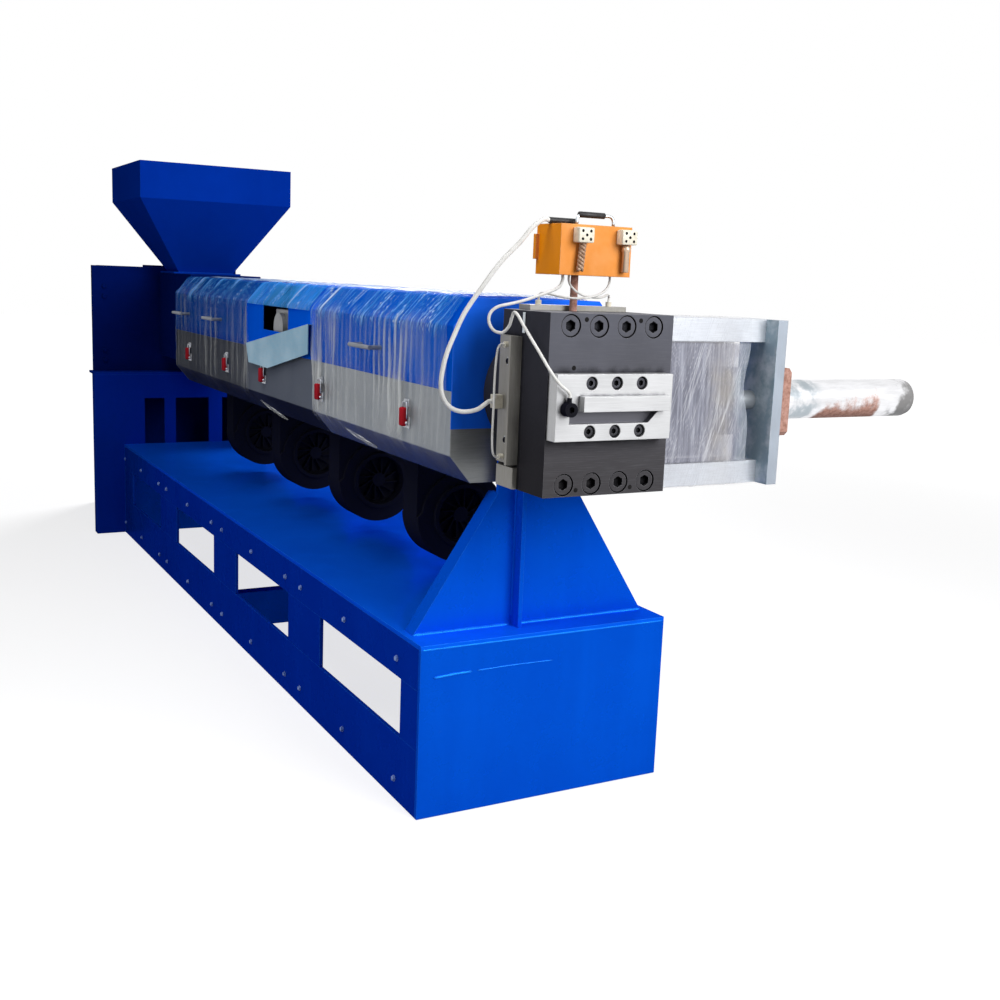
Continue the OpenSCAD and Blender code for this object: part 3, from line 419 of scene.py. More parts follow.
support_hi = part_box("front_support")[1]
foot_x = support_hi.x - 0.040
foot_y = support_hi.y
rib_y, rib_half, rib_top = -0.065, 0.012, 0.92
deck_z = base_hi.z
seam_x, seam_z, seam_in = base_hi.x - 0.002, deck_z - 0.012, 0.004
panel_x = base_hi.x
# The beads along the foot and the panel, and the crease, get a paler blue with wide pale edges: a painted
# highlight.
bead_highlight_paint = enamel("bead_highlight_enamel", (0.01, 0.19, 0.85), (0.10, 0.45, 1.0), gloss=0.16, corner=0.002,
                    reach=1.4, shine=0.3)
scale_pitch = 0.007
beads = [
    ("weld_foot", 0.0055, (1, 0, 1), bead_highlight_paint, scale_pitch, 0,
     [(foot_x, -foot_y, deck_z), (foot_x, rib_y - rib_half, deck_z)]),
    ("weld_foot_far", 0.0055, (1, 0, 1), bead_highlight_paint, scale_pitch, 1,
     [(foot_x, rib_y + rib_half, deck_z), (foot_x, foot_y, deck_z)]),
    ("weld_panel", 0.003, (1, 0, 1), bead_highlight_paint, scale_pitch, 2,
     [(seam_x, base_lo.y + seam_in, seam_z), (seam_x, base_hi.y - seam_in, seam_z)]),
    ("weld_rib", 0.004, (1, -1, 0), blue_enamel, scale_pitch, 7,
     [(foot_x, rib_y - rib_half / 2, deck_z + 0.02), (foot_x, rib_y - rib_half / 2, rib_top)]),
    ("panel_crease", 0.0036, (1, 0, 0), bead_highlight_paint, 0.04, 9,
     [(panel_x, -0.362, 0.402), (panel_x, -0.30, 0.406), (panel_x, -0.24, 0.407)]),
    ("panel_crease_end", 0.0015, (1, 0, 0), bead_highlight_paint, 0.05, 10,
     [(panel_x, -0.23, 0.407), (panel_x, -0.12, 0.409), (panel_x, 0.02, 0.407)]),
]
for bead in beads:
    weld_bead(*bead)

# Stand, feed block and hopper
# Welded plate and folded sheet in the same blue, flatter than the base and painted darker: painted shade.
# The hopper is welded along its corners and stands on a flange.
shaded_stand_enamel = enamel("shaded_stand_enamel", (0.001, 0.030, 0.38), (0.02, 0.12, 0.6), gloss=0.34, shine=0.05)
dress(shaded_stand_enamel, "stand_front", "stand_side_walls", "stand_rear_wall", "stand_top_plate")
dress(enamel("feed_enamel", (0.001, 0.012, 0.14), (0.02, 0.08, 0.3), gloss=0.3, shine=0.05), "feed_block")
dress(enamel("hopper_enamel", (0.001, 0.042, 0.46), (0.02, 0.16, 0.8), gloss=0.34, shine=0.03), "hopper")

# Gearbox and its shaft
# Cast housing with a bolted lid and output cover, its enamel painted dark navy: painted shade. The input
# shaft at the rear and the feed screw are bare ground steel.
# Dark navy enamel for the gearbox and its bolts: painted shade.
gearbox_shade_enamel = enamel("gearbox_shade_enamel", (0.001, 0.010, 0.125), (0.01, 0.04, 0.20), gloss=0.3, shine=0.1)
dress(gearbox_shade_enamel, "gearbox_housing", "gearbox_lid", "gearbox_output_cover")

ground_steel, given, put = effect_group(
    "ground_steel", {"Vector": "Vector", "Grain": "Vector", "Colour": "Color", "Rough": "Float"},
    {"Colour": "Color", "Roughness": "Float", "Height": "Float"})
lay = add_node(put, "VectorMath", {0: given["Vector"], 1: given["Grain"]}, operation="MULTIPLY")
scratch = noise(lay.outputs["Vector"], 9.0, 6.0, 0.7)
stain = span_of(noise(given["Vector"], 7.0, 4.0), 0.3, 0.75, -0.07, 0.14)
feed(put, Colour=blend(span_of(scratch, 0.3, 0.7, 0.0, 0.3), given["Colour"], (0.35, 0.35, 0.36)),
     Roughness=math_node("ADD", given["Rough"], stain), Height=scratch)


def steel_finish(name, colour, grain, rough, corner=0.002, relief=0.15, **constants):
    """Bare metal ground along the axis of least grain: the material, its shader, coordinates and colour."""
    material, shader, place = finish(name, **constants)
    face = use_group(ground_steel, Vector=place, Grain=grain, Colour=colour, Rough=rough)
    feed(shader, Base_Color=face["Colour"], Roughness=face["Roughness"],
         Normal=bump(face["Height"], relief, 0.0004, round_normal(place, corner)))
    return material, shader, place, face["Colour"]


def bare_steel(name, colour, grain, rough, corner=0.002, metallic=1.0):
    """Bare ground metal with nothing else on it."""
    return steel_finish(name, colour, grain, rough, corner, Metallic=metallic)[0]


shaft_steel = bare_steel("shaft_steel", (0.36, 0.36, 0.38), (60.0, 4.0, 4.0), 0.32)
dress(shaft_steel, "gearbox_input_shaft", "feed_screw")
gear_lo, gear_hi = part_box("gearbox_housing")
gear_bolts = [(gear_hi.x, gear_lo.y + 0.06, z) for z in (1.296, 1.350, 0.95, 1.004)]
gear_head = head_profile(0.013, 0.0, 0.012, 0.002, 0.002)
gear_rings = turned(gear_head, gear_bolts, (1, 0, 0), 6)
ring_piece("gearbox_bolts", gear_rings, "navy_paint", gearbox_shade_enamel, smooth=False)

# Barrel
# Nitrided steel tube with bolted flanges, dark under the covers. The die blocks have the same black oxide:
# paler where it is milled and along edges, with painted shade in bores and corners and on the faces towards
# the near side, and darker towards the bottom.
# Occlusion mask, broken up by noise, for painted shade in corners and bores.
crevice_shade, given, put = effect_group("crevice_shade", {"Occlusion": "Float", "Vector": "Vector"},
                                         {"Mask": "Float"})
smear = span_of(noise(given["Vector"], 30.0, 4.0), 0.3, 0.8, -0.12, 0.12)
feed(put, Mask=span_of(math_node("ADD", given["Occlusion"], smear), 0.35, 0.85, 1.0, 0.0))


def occlusion_shade(place, reach):
    """Mask of the corners and bores within reach metres of other faces: painted shade."""
    open_sky = add_node(place, "AmbientOcclusion", {"Distance": reach}, samples=6).outputs["AO"]
    return use_group(crevice_shade, Occlusion=open_sky, Vector=place)["Mask"]


def coordinate(vector, axis):
    """One coordinate of a vector socket, by its letter."""
    return add_node(vector, "SeparateXYZ", {"Vector": vector}).outputs[axis]


def near_side_shade(place):
    """Mask of the faces that look towards the near side, -Y, where shade is painted."""
    normal = add_node(place, "NewGeometry").outputs["Normal"]
    return span_of(coordinate(normal, "Y"), -0.9, -0.6, 1.0, 0.0)


black_oxide, shader, place = finish("black_oxide", Metallic=0.04, Specular_IOR_Level=0.02)
soft = round_normal(place, 0.0025)
haze = noise(place, 6.0, 5.0, 0.6)
mill = noise(stretched(place, (30.0, 1.0, 30.0)), 14.0, 4.0, 0.65)
tone = blend(span_of(coordinate(place, "Z"), 0.95, 1.38), (0.056, 0.053, 0.057), (0.108, 0.111, 0.134))
tone = blend(span_of(haze, 0.3, 0.75, 0.0, 0.35), tone, (0.060, 0.060, 0.066))
tone = blend(span_of(mill, 0.45, 0.8, 0.0, 0.3), tone, (0.15, 0.15, 0.165))
tone = blend(worn_edges(place, soft, 0.9), tone, (0.24, 0.24, 0.26))
# Faces towards the near side are painted darker: painted shade.
tone = blend(near_side_shade(place), tone, blend(1.0, tone, (0.36, 0.36, 0.40), "MULTIPLY"))
# Corners and bores darkened by occlusion: painted shade.
feed(shader, Base_Color=blend(occlusion_shade(place, 0.025), tone, (0.004, 0.004, 0.005)),
     Roughness=span_of(haze, 0.3, 0.8, 0.42, 0.6), Normal=bump(mill, 0.2, 0.0004, soft))
dress(black_oxide, "barrel", "die_rear_block", "die_front_block")

# Guard covers
# Folded sheet in halves: blue enamel above the screw's centre line, brushed stainless below it.
# The end plates are blue with a stainless lower piece.
# The middle cover's blue is brighter and the rear one's darker than the front's: painted light and painted
# shade.
for label, colour in (("cover_upper_front", (0.001, 0.11, 0.66)),
                      ("cover_upper_middle", (0.001, 0.15, 0.90)),
                      ("cover_upper_rear", (0.001, 0.055, 0.38))):
    dress(enamel(label + "_enamel", colour, (0.04, 0.24, 0.85), gloss=0.2, corner=0.004), label)
fold_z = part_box("cover_lower_front")[0].z + 0.078
bright = {"Metallic": 0.7, "Specular_IOR_Level": 0.1, "Specular_Tint": (1.0, 1.0, 1.0)}
dull = {"Metallic": 0.25, "Specular_IOR_Level": 0.0, "Specular_Tint": (0.04, 0.05, 0.09)}
# The middle and rear lower covers are darker and duller than the front one: painted shade.
for label, colour, sheen, evened in (("cover_lower_front", (0.22, 0.245, 0.275), bright, 0.0),
                                     ("cover_lower_middle", (0.16, 0.18, 0.225), dull, 0.85),
                                     ("cover_lower_rear", (0.09, 0.10, 0.135), dull, 0.85)):
    stainless, shader, place, face = steel_finish(label + "_stainless", colour, (2.0, 60.0, 60.0),
                                                  0.4, 0.004, **sheen)
    # Below the fold the sheet is painted dark navy: painted shade on the lower slope.
    under = span_of(coordinate(place, "Z"), fold_z - 0.006, fold_z + 0.002, 0.86, 0.0)
    feed(shader, Base_Color=blend(under, blend(evened, face, colour), (0.010, 0.014, 0.050)))
    dress(stainless, label)
plate_split = 1.060
end_plate, shader, place = finish("end_plate_finish", Specular_IOR_Level=0.05)
upper = span_of(coordinate(place, "Z"), plate_split - 0.0015, plate_split + 0.0015)
# Its blue half is brighter than the covers' blue: painted light.
coat = use_group(enamel_coat, Vector=place, Colour=(0.012, 0.16, 0.98), Gloss=0.22)
face = use_group(ground_steel, Vector=place, Grain=(2.0, 2.0, 60.0), Colour=(0.20, 0.21, 0.21), Rough=0.4)
feed(shader, Base_Color=blend(upper, face["Colour"], coat["Colour"]),
     Metallic=span_of(upper, 0.0, 1.0, 0.75, 0.14), Roughness=span_of(upper, 0.0, 1.0, 0.42, 0.26),
     Normal=bump(coat["Height"], 0.2, 0.0006, round_normal(place, 0.002)))
dress(end_plate, "cover_end_plates")

along_x = (3.0, 60.0, 60.0)
dress(bare_steel("handle_steel", (0.16, 0.18, 0.22), along_x, 0.4, 0.0015, 0.5), "cover_handles")
# The vent plate's stainless is tinted blue: a painted reflection.
dress(bare_steel("vent_sheet", (0.13, 0.33, 0.48), along_x, 0.34, 0.0015, 0.6), "vent_plate")
dress(bare_steel("vent_steel", (0.20, 0.21, 0.22), (3.0, 60.0, 3.0), 0.4, 0.002, 0.6), "vent_port")

# Cover latches
# Spring toggle latches: a plated base plate, a bent wire hook over its keeper, and a red moulded
# grip on the lever. They stand where the solids have them.


def soft_block(lo, hi, edge, steps=4):
    """Block with rounded edges: a rounded rectangle carried up in stations that draw in at both ends."""
    lo, hi = np.asarray(lo, float), np.asarray(hi, float)
    half = (hi - lo) / 2
    quarter = np.linspace(0.0, np.pi / 2, steps)
    shut = [half[:2].min()]
    draw = np.concatenate([shut, edge * (1 - np.sin(quarter)), edge * (1 - np.sin(quarter[::-1])), shut])
    rise = edge * (1 - np.cos(quarter))
    lift = np.concatenate([[0.0], rise, 2 * half[2] - rise[::-1], [2 * half[2]]])
    corner = np.repeat(np.arange(4), steps) * np.pi / 2 + np.tile(quarter, 4)
    sign = np.array([(1, 1), (-1, 1), (-1, -1), (1, -1)])[np.repeat(np.arange(4), steps)]
    ring = sign * (half[:2] - edge) + edge * np.stack([np.cos(corner), np.sin(corner)], -1)
    scale = np.clip(1.0 - draw[:, None] / half[:2], 0.0, 1.0)
    flat = ring[None] * scale[:, None, :]
    z = np.broadcast_to(lift[:, None, None], flat.shape[:2] + (1,))
    return np.concatenate([flat, z], -1) + np.append((lo + hi)[:2] / 2, lo[2])


def tube(path, radius, sides=12):
    """Round bar along a path: a circle carried on the path's own frame, closed at both ends."""
    path = np.asarray(path, float)
    tangent = headings(path)
    guide = np.eye(3)[np.argmin(np.abs(tangent).mean(0))]
    across = np.cross(tangent, guide)
    across /= np.linalg.norm(across, axis=1)[:, None]
    rings = path[:, None, :] + radius * spokes(across, np.cross(tangent, across), sides)
    ends = np.repeat(path[[0, -1], None, :], sides, 1)
    return np.concatenate([ends[:1], rings, ends[1:]])


def rounded_path(corners, radius, steps=8):
    """Polyline with each inner corner c turned into the curve (1-t)^2 a + 2t(1-t) c + t^2 b, where a and b
    lie radius away from c on its two sides."""
    corners = np.asarray(corners, float)
    line = [corners[:1]]
    t = np.linspace(0.0, 1.0, steps)[:, None]
    for before, corner, after in zip(corners[:-2], corners[1:-1], corners[2:]):
        a = corner + radius * (before - corner) / np.linalg.norm(before - corner)
        b = corner + radius * (after - corner) / np.linalg.norm(after - corner)
        line.append((1 - t) ** 2 * a + 2 * t * (1 - t) * corner + t ** 2 * b)
    return np.concatenate(line + [corners[-1:]])


latch_x = (1.524, 0.792, 0.142, -0.384, -1.023)
latch_lo, latch_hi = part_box("cover_latches")
latch_feet = np.array([(x, latch_hi.y, latch_lo.z) for x in latch_x])[:, None, None, :]
plate = soft_block((-0.022, -0.0045, 0.0), (0.022, 0.0, 0.034), 0.0015)
keeper = soft_block((-0.016, -0.0055, 0.062), (0.016, 0.0, 0.086), 0.002)
lever = soft_block((-0.013, -0.0235, 0.006), (0.013, -0.0062, 0.062), 0.0055)
pin_half, pin_y, pin_z = 0.018, -0.0085, 0.016
pin = tube([(-pin_half, pin_y, pin_z), (0.0, pin_y, pin_z), (pin_half, pin_y, pin_z)], 0.0042)
hook_half, hook_y, hook_low, hook_high = 0.0165, -0.0095, 0.030, 0.078
hook = tube(rounded_path([(-hook_half, hook_y, hook_low), (-hook_half, hook_y, hook_high),
                          (hook_half, hook_y, hook_high), (hook_half, hook_y, hook_low)], 0.010), 0.0022)
zinc = speckled("zinc_plate", 90.0, (0.36, 0.38, 0.42), (0.54, 0.56, 0.60), rough=(0.3, 0.7, 0.28, 0.5),
                Metallic=0.85)
red_grip = enamel("red_grip", (0.50, 0.02, 0.03), (0.75, 0.2, 0.18), gloss=0.3, corner=0.002, shine=0.1)
ring_piece("latch_plates", latch_feet + plate, "stainless", zinc, "cover_latches", smooth=False)
ring_piece("latch_keepers", latch_feet + keeper, "stainless", zinc, smooth=False)
ring_piece("latch_grips", latch_feet + lever, "latch_red", red_grip)
ring_piece("latch_hinges", latch_feet + pin, "stainless", zinc)
ring_piece("latch_hooks", latch_feet + hook, "stainless", zinc)

# Blowers
# Pressed-steel scroll casings in gloss black, each with a wheel in its inlet and a motor behind.
# They hang in a row under the covers.
blower_black = enamel("blower_black", (0.014, 0.015, 0.026), (0.03, 0.03, 0.036), gloss=0.3, shine=0.02)
dress(blower_black, "blower_1", "blower_2", "blower_3", "blower_4")

# Die head
# Two black-oxided blocks held by socket-head screws, and a bright milled die plate with its lip.
# Small dowel holes show between the screws as shallow discs painted dark: painted shade.
black_bolt = enamel("black_bolt", (0.012, 0.012, 0.016), (0.12, 0.12, 0.14), gloss=0.35, corner=0.001)
dress(black_oxide, "die_screws")
dress(black_bolt, "die_sensor")
along_y = (40.0, 1.5, 40.0)
milled, shader, place, face = steel_finish("milled_steel", (0.55, 0.555, 0.565), along_y, 0.38, 0.0025, 0.2,
                                           Metallic=0.55, Specular_IOR_Level=0.15)
plate_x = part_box("die_plate")[1].x
slot_top = 1.155
slot_low = slot_top - 0.033
# The slot under the lip is painted darker: painted shade.
slot_sides = [
    ("Z", slot_low - 0.001, slot_low + 0.001, 0.0),
    ("Z", slot_top - 0.0005, slot_top + 0.0005, 1.0),
    ("X", plate_x - 0.027, plate_x - 0.0255, 1.0),
    ("Y", -0.147, -0.146, 0.0),
    ("Y", 0.129, 0.130, 1.0),
]
slot_shade = product(*[span_of(coordinate(place, axis), low, high, before, 1.0 - before)
                    for axis, low, high, before in slot_sides])
# Corners darkened by occlusion: painted shade.
tone = blend(occlusion_shade(place, 0.012), face, (0.06, 0.06, 0.07))
feed(shader, Base_Color=blend(slot_shade, tone, (0.13, 0.13, 0.15)))
dress(milled, "die_plate")
hole_shade, shader, place = finish("hole_shade", Roughness=0.8, Specular_IOR_Level=0.1)
feed(shader, Base_Color=blend(noise(place, 120.0), (0.004, 0.004, 0.005), (0.014, 0.013, 0.013)))
die_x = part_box("die_front_block")[1].x
dowels = [(die_x, y, z) for y, z in ((-0.081, 1.380), (0.084, 1.380), (-0.089, 0.947), (0.079, 0.947),
                                     (-0.112, 1.259))]
dowel_rim = [(0.0, 0.0004), (0.0055, 0.0004), (0.0062, 0.0)]
ring_piece("dowel_holes", turned(dowel_rim, dowels, (1, 0, 0), 20), "black_oxide", hole_shade)

# Plate heaters
# Mica heaters clad in stainless sheet, bolted to the near side and the top of the rear block, with
# ceramic terminals. A thin clip at the corner holds the sensor's lead.
heater_sheet = bare_steel("heater_sheet", (0.22, 0.21, 0.185), (60.0, 60.0, 3.0), 0.42, 0.002, 0.7)
dress(heater_sheet, "plate_heater")
ceramic, shader, place = finish("cream_ceramic", Specular_IOR_Level=0.2)
speck = noise(place, 70.0, 4.0, 0.6)
feed(shader, Base_Color=blend(span_of(speck, 0.45, 0.8), (0.80, 0.76, 0.64), (0.60, 0.54, 0.42)),
     Roughness=span_of(speck, 0.3, 0.8, 0.25, 0.5),
     Normal=bump(speck, 0.1, 0.0005, round_normal(place, 0.002)))
dress(ceramic, "heater_terminals")
heater_x, heater_face = 2.018, -0.201
heater_bolts = [(heater_x, heater_face, z) for z in (1.263, 1.057)]
for label, profile, sides, slot, material in (
        ("heater_bolts", head_profile(0.0085, 0.0, 0.009, 0.0015, 0.002), 6, "black_oxide", black_bolt),
        ("heater_washers", washer_profile(0.013, 0.002), 24, "stainless", zinc)):
    ring_piece(label, turned(profile, heater_bolts, (0, -1, 0), sides), slot, material, smooth=False)
bright_stainless = bare_steel("bright_stainless", (0.50, 0.54, 0.57), along_x, 0.3, 0.0015)
clip = soft_block((2.056, -0.190, 1.338), (2.068, -0.187, 1.391), 0.001)
ring_piece("lead_clip", clip, "stainless", bright_stainless, smooth=False)

# Screen changer
# Oiled bar frame with the screen slide and an end plate, and on it a cylinder with its flange and
# tube. Those two are bare steel that rusts from below.
dress(bare_steel("changer_steel", (0.66, 0.69, 0.74), along_y, 0.4, 0.003, 0.6), "changer_bars")
dress(bare_steel("slide_steel", (0.34, 0.37, 0.40), along_y, 0.4, 0.003, 0.5), "changer_slide")
end_steel, shader, place, face = steel_finish("end_plate_steel", (0.36, 0.41, 0.48), (40.0, 40.0, 2.0),
                                              0.38, 0.003, Specular_IOR_Level=0.1)
end_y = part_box("changer_end_plate")[0].y
# The inner face is painted a paler, duller steel-blue than the rest of the plate: painted light.
inner = span_of(coordinate(place, "Y"), end_y + 0.001, end_y + 0.002, 1.0, 0.0)
inner_face_light = blend(span_of(noise(place, 18.0, 5.0, 0.65), 0.38, 0.68), (0.26, 0.35, 0.42), (0.52, 0.58, 0.64))
feed(shader, Base_Color=blend(inner, face, inner_face_light), Metallic=span_of(inner, 0.0, 1.0, 0.7, 0.15))
dress(end_steel, "changer_end_plate")

rust_bloom, given, put = effect_group("rust_bloom", {"Vector": "Vector", "Cover": "Float"},
                                      {"Mask": "Float", "Colour": "Color", "Height": "Float"})
bloom = noise(given["Vector"], 11.0, 6.0, 0.68)
grit = noise(given["Vector"], 85.0, 4.0, 0.7)
spread = math_node("SUBTRACT", math_node("ADD", bloom, given["Cover"]), 0.5)
rust_tone = blend(span_of(grit, 0.35, 0.7), (0.52, 0.30, 0.245), (0.30, 0.15, 0.11))
feed(put, Mask=span_of(spread, 0.40, 0.62), Height=grit,
     Colour=blend(span_of(bloom, 0.55, 0.8), rust_tone, (0.60, 0.44, 0.42)))


def rusted(name, middle, slope, bare, rust_from=-9.0, rust_to=9.0, sooty=9.0):
    """Bare steel that rusts from below: the cover grows by slope with depth under middle, between
    Y = rust_from and rust_to. The steel before rust_from is stained by oil, and beyond Y = sooty it is
    burnt, lower down first."""
    material, shader, place = finish(name, Specular_IOR_Level=0.1)
    y = coordinate(place, "Y")
    drop = math_node("SUBTRACT", middle, coordinate(place, "Z"))
    blot = noise(place, 16.0, 4.0)
    started = span_of(y, rust_from - 0.05, rust_from + 0.05)
    held = product(started, span_of(y, rust_to - 0.05, rust_to + 0.03, 1.0, 0.0))
    cover = math_node("MULTIPLY_ADD", drop, slope, span_of(held, 0.0, 1.0, 0.12, 0.52))
    rust = use_group(rust_bloom, Vector=place, Cover=cover)
    face = use_group(ground_steel, Vector=place, Grain=(6.0, 1.0, 6.0), Colour=bare, Rough=0.3)
    oily = product(span_of(started, 0.0, 0.9, 0.85, 0.0), span_of(blot, 0.42, 0.62))
    tone = blend(oily, face["Colour"], (0.34, 0.40, 0.44))
    tone = blend(rust["Mask"], tone, rust["Colour"])
    ragged = math_node("ADD", y, span_of(blot, 0.35, 0.65, -0.03, 0.03))
    burnt = span_of(math_node("MULTIPLY_ADD", drop, 0.55, ragged), sooty - 0.03, sooty + 0.03, 0.0, 0.8)
    feed(shader, Base_Color=blend(burnt, tone, (0.10, 0.095, 0.09)),
         Metallic=span_of(math_node("MAXIMUM", rust["Mask"], burnt), 0.0, 0.8, 0.9, 0.05),
         Roughness=span_of(rust["Mask"], 0.0, 1.0, 0.3, 0.75),
         Normal=bump(rust["Height"], 0.3, 0.0012, round_normal(place, 0.003)))
    return material


tube_lo, tube_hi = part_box("changer_tube")
tube_z = (tube_lo.z + tube_hi.z) / 2
dress(rusted("rusty_tube", tube_z - 0.006, 5.0, (0.90, 0.90, 0.92), 0.80, 1.06, 1.135), "changer_tube")
dress(rusted("rusty_flange", tube_z + 0.30, 1.2, (0.6, 0.55, 0.52)), "changer_flange")

# Terminal box
# Folded sheet box in orange enamel on a rusty post, with two ceramic plugs, a carrying handle and
# a black sleeve. The near plug's tail is twisted wire, the far one's a metal ferrule.
dress(rusted("rusty_post", 1.70, 1.5, (0.6, 0.4, 0.3)), "box_post")
orange, shader, place = finish("orange_enamel", Specular_IOR_Level=0.06)
soft = round_normal(place, 0.003)
patch = noise(place, 12.0, 5.0, 0.6)
tone = blend(span_of(patch, 0.3, 0.75), (0.76, 0.27, 0.045), (0.82, 0.335, 0.10))
# The near side gets its own deeper, redder orange: painted shade.
tone = blend(near_side_shade(place), tone, (1.0, 0.32, 0.006))
feed(shader, Base_Color=blend(worn_edges(place, soft, 0.6), tone, (0.95, 0.58, 0.30)),
     Roughness=span_of(patch, 0.3, 0.8, 0.3, 0.48),
     Normal=bump(noise(place, 260.0, 1.0), 0.15, 0.0004, soft))
dress(orange, "terminal_box")

box_lo, box_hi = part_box("terminal_box")
plug_lo, plug_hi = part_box("box_plugs")
plug_w, plug_h, plug_deep = 0.046, 0.038, 0.030
near_plug, far_plug = plug_lo.y + plug_w / 2, plug_hi.y - plug_w / 2
plug_foot = plug_hi.z - plug_h
plug_feet = np.array([(plug_lo.x, y, plug_foot) for y in (near_plug, far_plug)])
plug_body = soft_block((0.0, -plug_w / 2, 0.0), (plug_deep, plug_w / 2, plug_h), 0.003)
ring_piece("plug_bodies", plug_feet[:, None, None, :] + plug_body, "ceramic", ceramic, "box_plugs")
pin_y, pin_z = 0.012, 0.010
pin_grid = ((-pin_y, -pin_z), (pin_y, -pin_z), (0.0, 0.0), (-pin_y, pin_z), (pin_y, pin_z))
pins = np.array([(plug_deep + 0.0002, y, plug_h / 2 + z) for y, z in pin_grid])
pin_places = (plug_feet[:, None, :] + pins[None]).reshape(-1, 3)
pin_rim = [(0.0, 0.0), (0.0036, 0.0), (0.0040, -0.0003)]
# The pin holes are shallow discs painted dark: painted shade.
ring_piece("plug_holes", turned(pin_rim, pin_places, (1, 0, 0), 16), "ceramic", hole_shade)

tail_x = plug_lo.x + 0.013
tail_top, tail_foot = plug_foot + 0.004, box_lo.z + 0.012
twist_r, twist_turns, tail_lean = 0.0055, 2.6, 0.006
tail_s = np.linspace(0.0, 1.0, 60)
tail_z = tail_top - tail_s * (tail_top - tail_foot)
wires = []
for phase in (0.0, 2.1, 4.2):
    angle = 2 * np.pi * twist_turns * tail_s + phase
    wire_y = near_plug + twist_r * np.sin(angle) - tail_lean * tail_s
    wires.append(tube(np.stack([tail_x + twist_r * np.cos(angle), wire_y, tail_z], -1), 0.0042, 10))
brown_wire = speckled("brown_wire", 160.0, (0.30, 0.17, 0.10), (0.55, 0.40, 0.30), 0.4, 0.7, 3.0,
                      Roughness=0.6, Specular_IOR_Level=0.3)
ring_piece("near_plug_wires", np.stack(wires), "rusty_steel", brown_wire)
ferrule = [(0.0, 0.0), (0.0085, 0.0), (0.0095, 0.001), (0.0095, 0.052), (0.0115, 0.054), (0.0115, 0.068),
           (0.0, 0.068)]
ferrule_metal = bare_steel("ferrule_brass", (0.62, 0.44, 0.30), (3.0, 3.0, 60.0), 0.35, 0.001, 0.7)
ferrule_rings = turned(ferrule, [(tail_x, far_plug, tail_foot)], (0, 0, 1), 28)
ring_piece("far_plug_ferrule", ferrule_rings, "machined_steel", ferrule_metal)

handle_lo, handle_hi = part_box("box_handle")
handle_x = (handle_lo.x + handle_hi.x) / 2
grip_z = handle_hi.z - 0.008
leg_near, leg_far = handle_lo.y + 0.006, handle_hi.y - 0.006
bow = [(handle_x, leg_near, box_hi.z), (handle_x, leg_near, grip_z), (handle_x, leg_far, grip_z),
       (handle_x, leg_far, box_hi.z)]
bow_rings = tube(rounded_path(bow, 0.018, 10), 0.0042)
ring_piece("box_handle_bow", bow_rings, "machined_steel", bright_stainless, "box_handle")
grip_half, grip_r, grip_rim = 0.040, 0.0078, 0.006
grip = [(0.0, -grip_half), (grip_rim, -grip_half), (grip_r, 0.002 - grip_half), (grip_r, grip_half - 0.002),
        (grip_rim, grip_half), (0.0, grip_half)]
grip_y = (handle_lo.y + handle_hi.y) / 2 - 0.012
black_rubber = speckled("black_rubber", 130.0, (0.006, 0.006, 0.007), (0.03, 0.03, 0.032), 0.4, 0.8,
                        rough=(0.3, 0.8, 0.4, 0.65), Specular_IOR_Level=0.35)
grip_rings = turned(grip, [(handle_x, grip_y, grip_z)], (0, 1, 0))
ring_piece("box_handle_grip", grip_rings, "black_plastic", black_rubber)
dress(black_rubber, "box_gland")

# Stretch film
# Clear polythene wound round the covers for the journey. It lies on the sheet metal and pulls into sharp
# ridges, upright on the side and slanting over the top; the light the ridges catch is painted into the film
# as white and azure highlights.
cover_lo, cover_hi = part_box("cover_upper_front")
axis_z = cover_lo.z
half_w = (cover_hi.y - cover_lo.y) / 2
half_h = cover_hi.z - axis_z
slope_y, slope_z = 0.065, 0.078
film_clear, film_under = 0.004, 0.05
slope_s, side_s, upper_side_s = 0.556, 0.33, 0.425


def film_girth(count):
    """Path round the covers from the near bottom edge over the top to the far bottom edge, clear of the
    sheet: its points in Y and Z, the outward direction and the length run at each."""
    w, h = half_w + film_clear, half_h + film_clear
    y, z = w - slope_y - film_clear * 0.45, h - slope_z - film_clear * 0.45
    near = np.array([(film_under - y, -h), (-y, -h), (-w, -z), (-w, z), (-y, h)])
    path, s = evenly(rounded_path(np.concatenate([near, near[::-1] * (-1, 1)]), 0.012, 6), count)
    tangent = headings(path)
    return path, np.stack([-tangent[:, 1], tangent[:, 0]], -1), s


def strands(across, along, pitch, run, seed, thin=0.7):
    """Thin lines where a sum of six sine waves crosses zero: n = sum sin(2 pi (across / p + along / r) +
    phase), with p near pitch and r beyond run; the value falls from 1 on the line to 0 where |n| is thin."""
    draw = np.random.default_rng(seed)
    n = 0.0
    for wave in range(6):
        p = pitch * draw.uniform(0.6, 1.7)
        r = run * draw.uniform(0.8, 3.0) * draw.choice([-1, 1])
        n = n + np.sin(2 * np.pi * (across / p + along / r) + draw.uniform(0, 2 * np.pi))
    return np.clip(1.0 - np.abs(n) / thin, 0.0, 1.0)


def swell(across, along, pitch, run, seed):
    """Smooth field from 0 to 1 with spots of about pitch by run: 0.5 + 0.32 sum of five sine products."""
    draw = np.random.default_rng(seed)
    n = 0.0
    for wave in range(5):
        one = np.sin(2 * np.pi * across / (pitch * draw.uniform(0.7, 2.0)) + draw.uniform(0, 7))
        n = n + one * np.sin(2 * np.pi * along / (run * draw.uniform(0.7, 2.0)) + draw.uniform(0, 7))
    return np.clip(0.5 + 0.32 * n, 0.0, 1.0)


def bell(value, centre, half):
    """1 within half of centre, falling smoothly to 0 at twice that."""
    t = np.clip(2.0 - np.abs(value - centre) / half, 0.0, 1.0)
    return t * t * (3 - 2 * t)


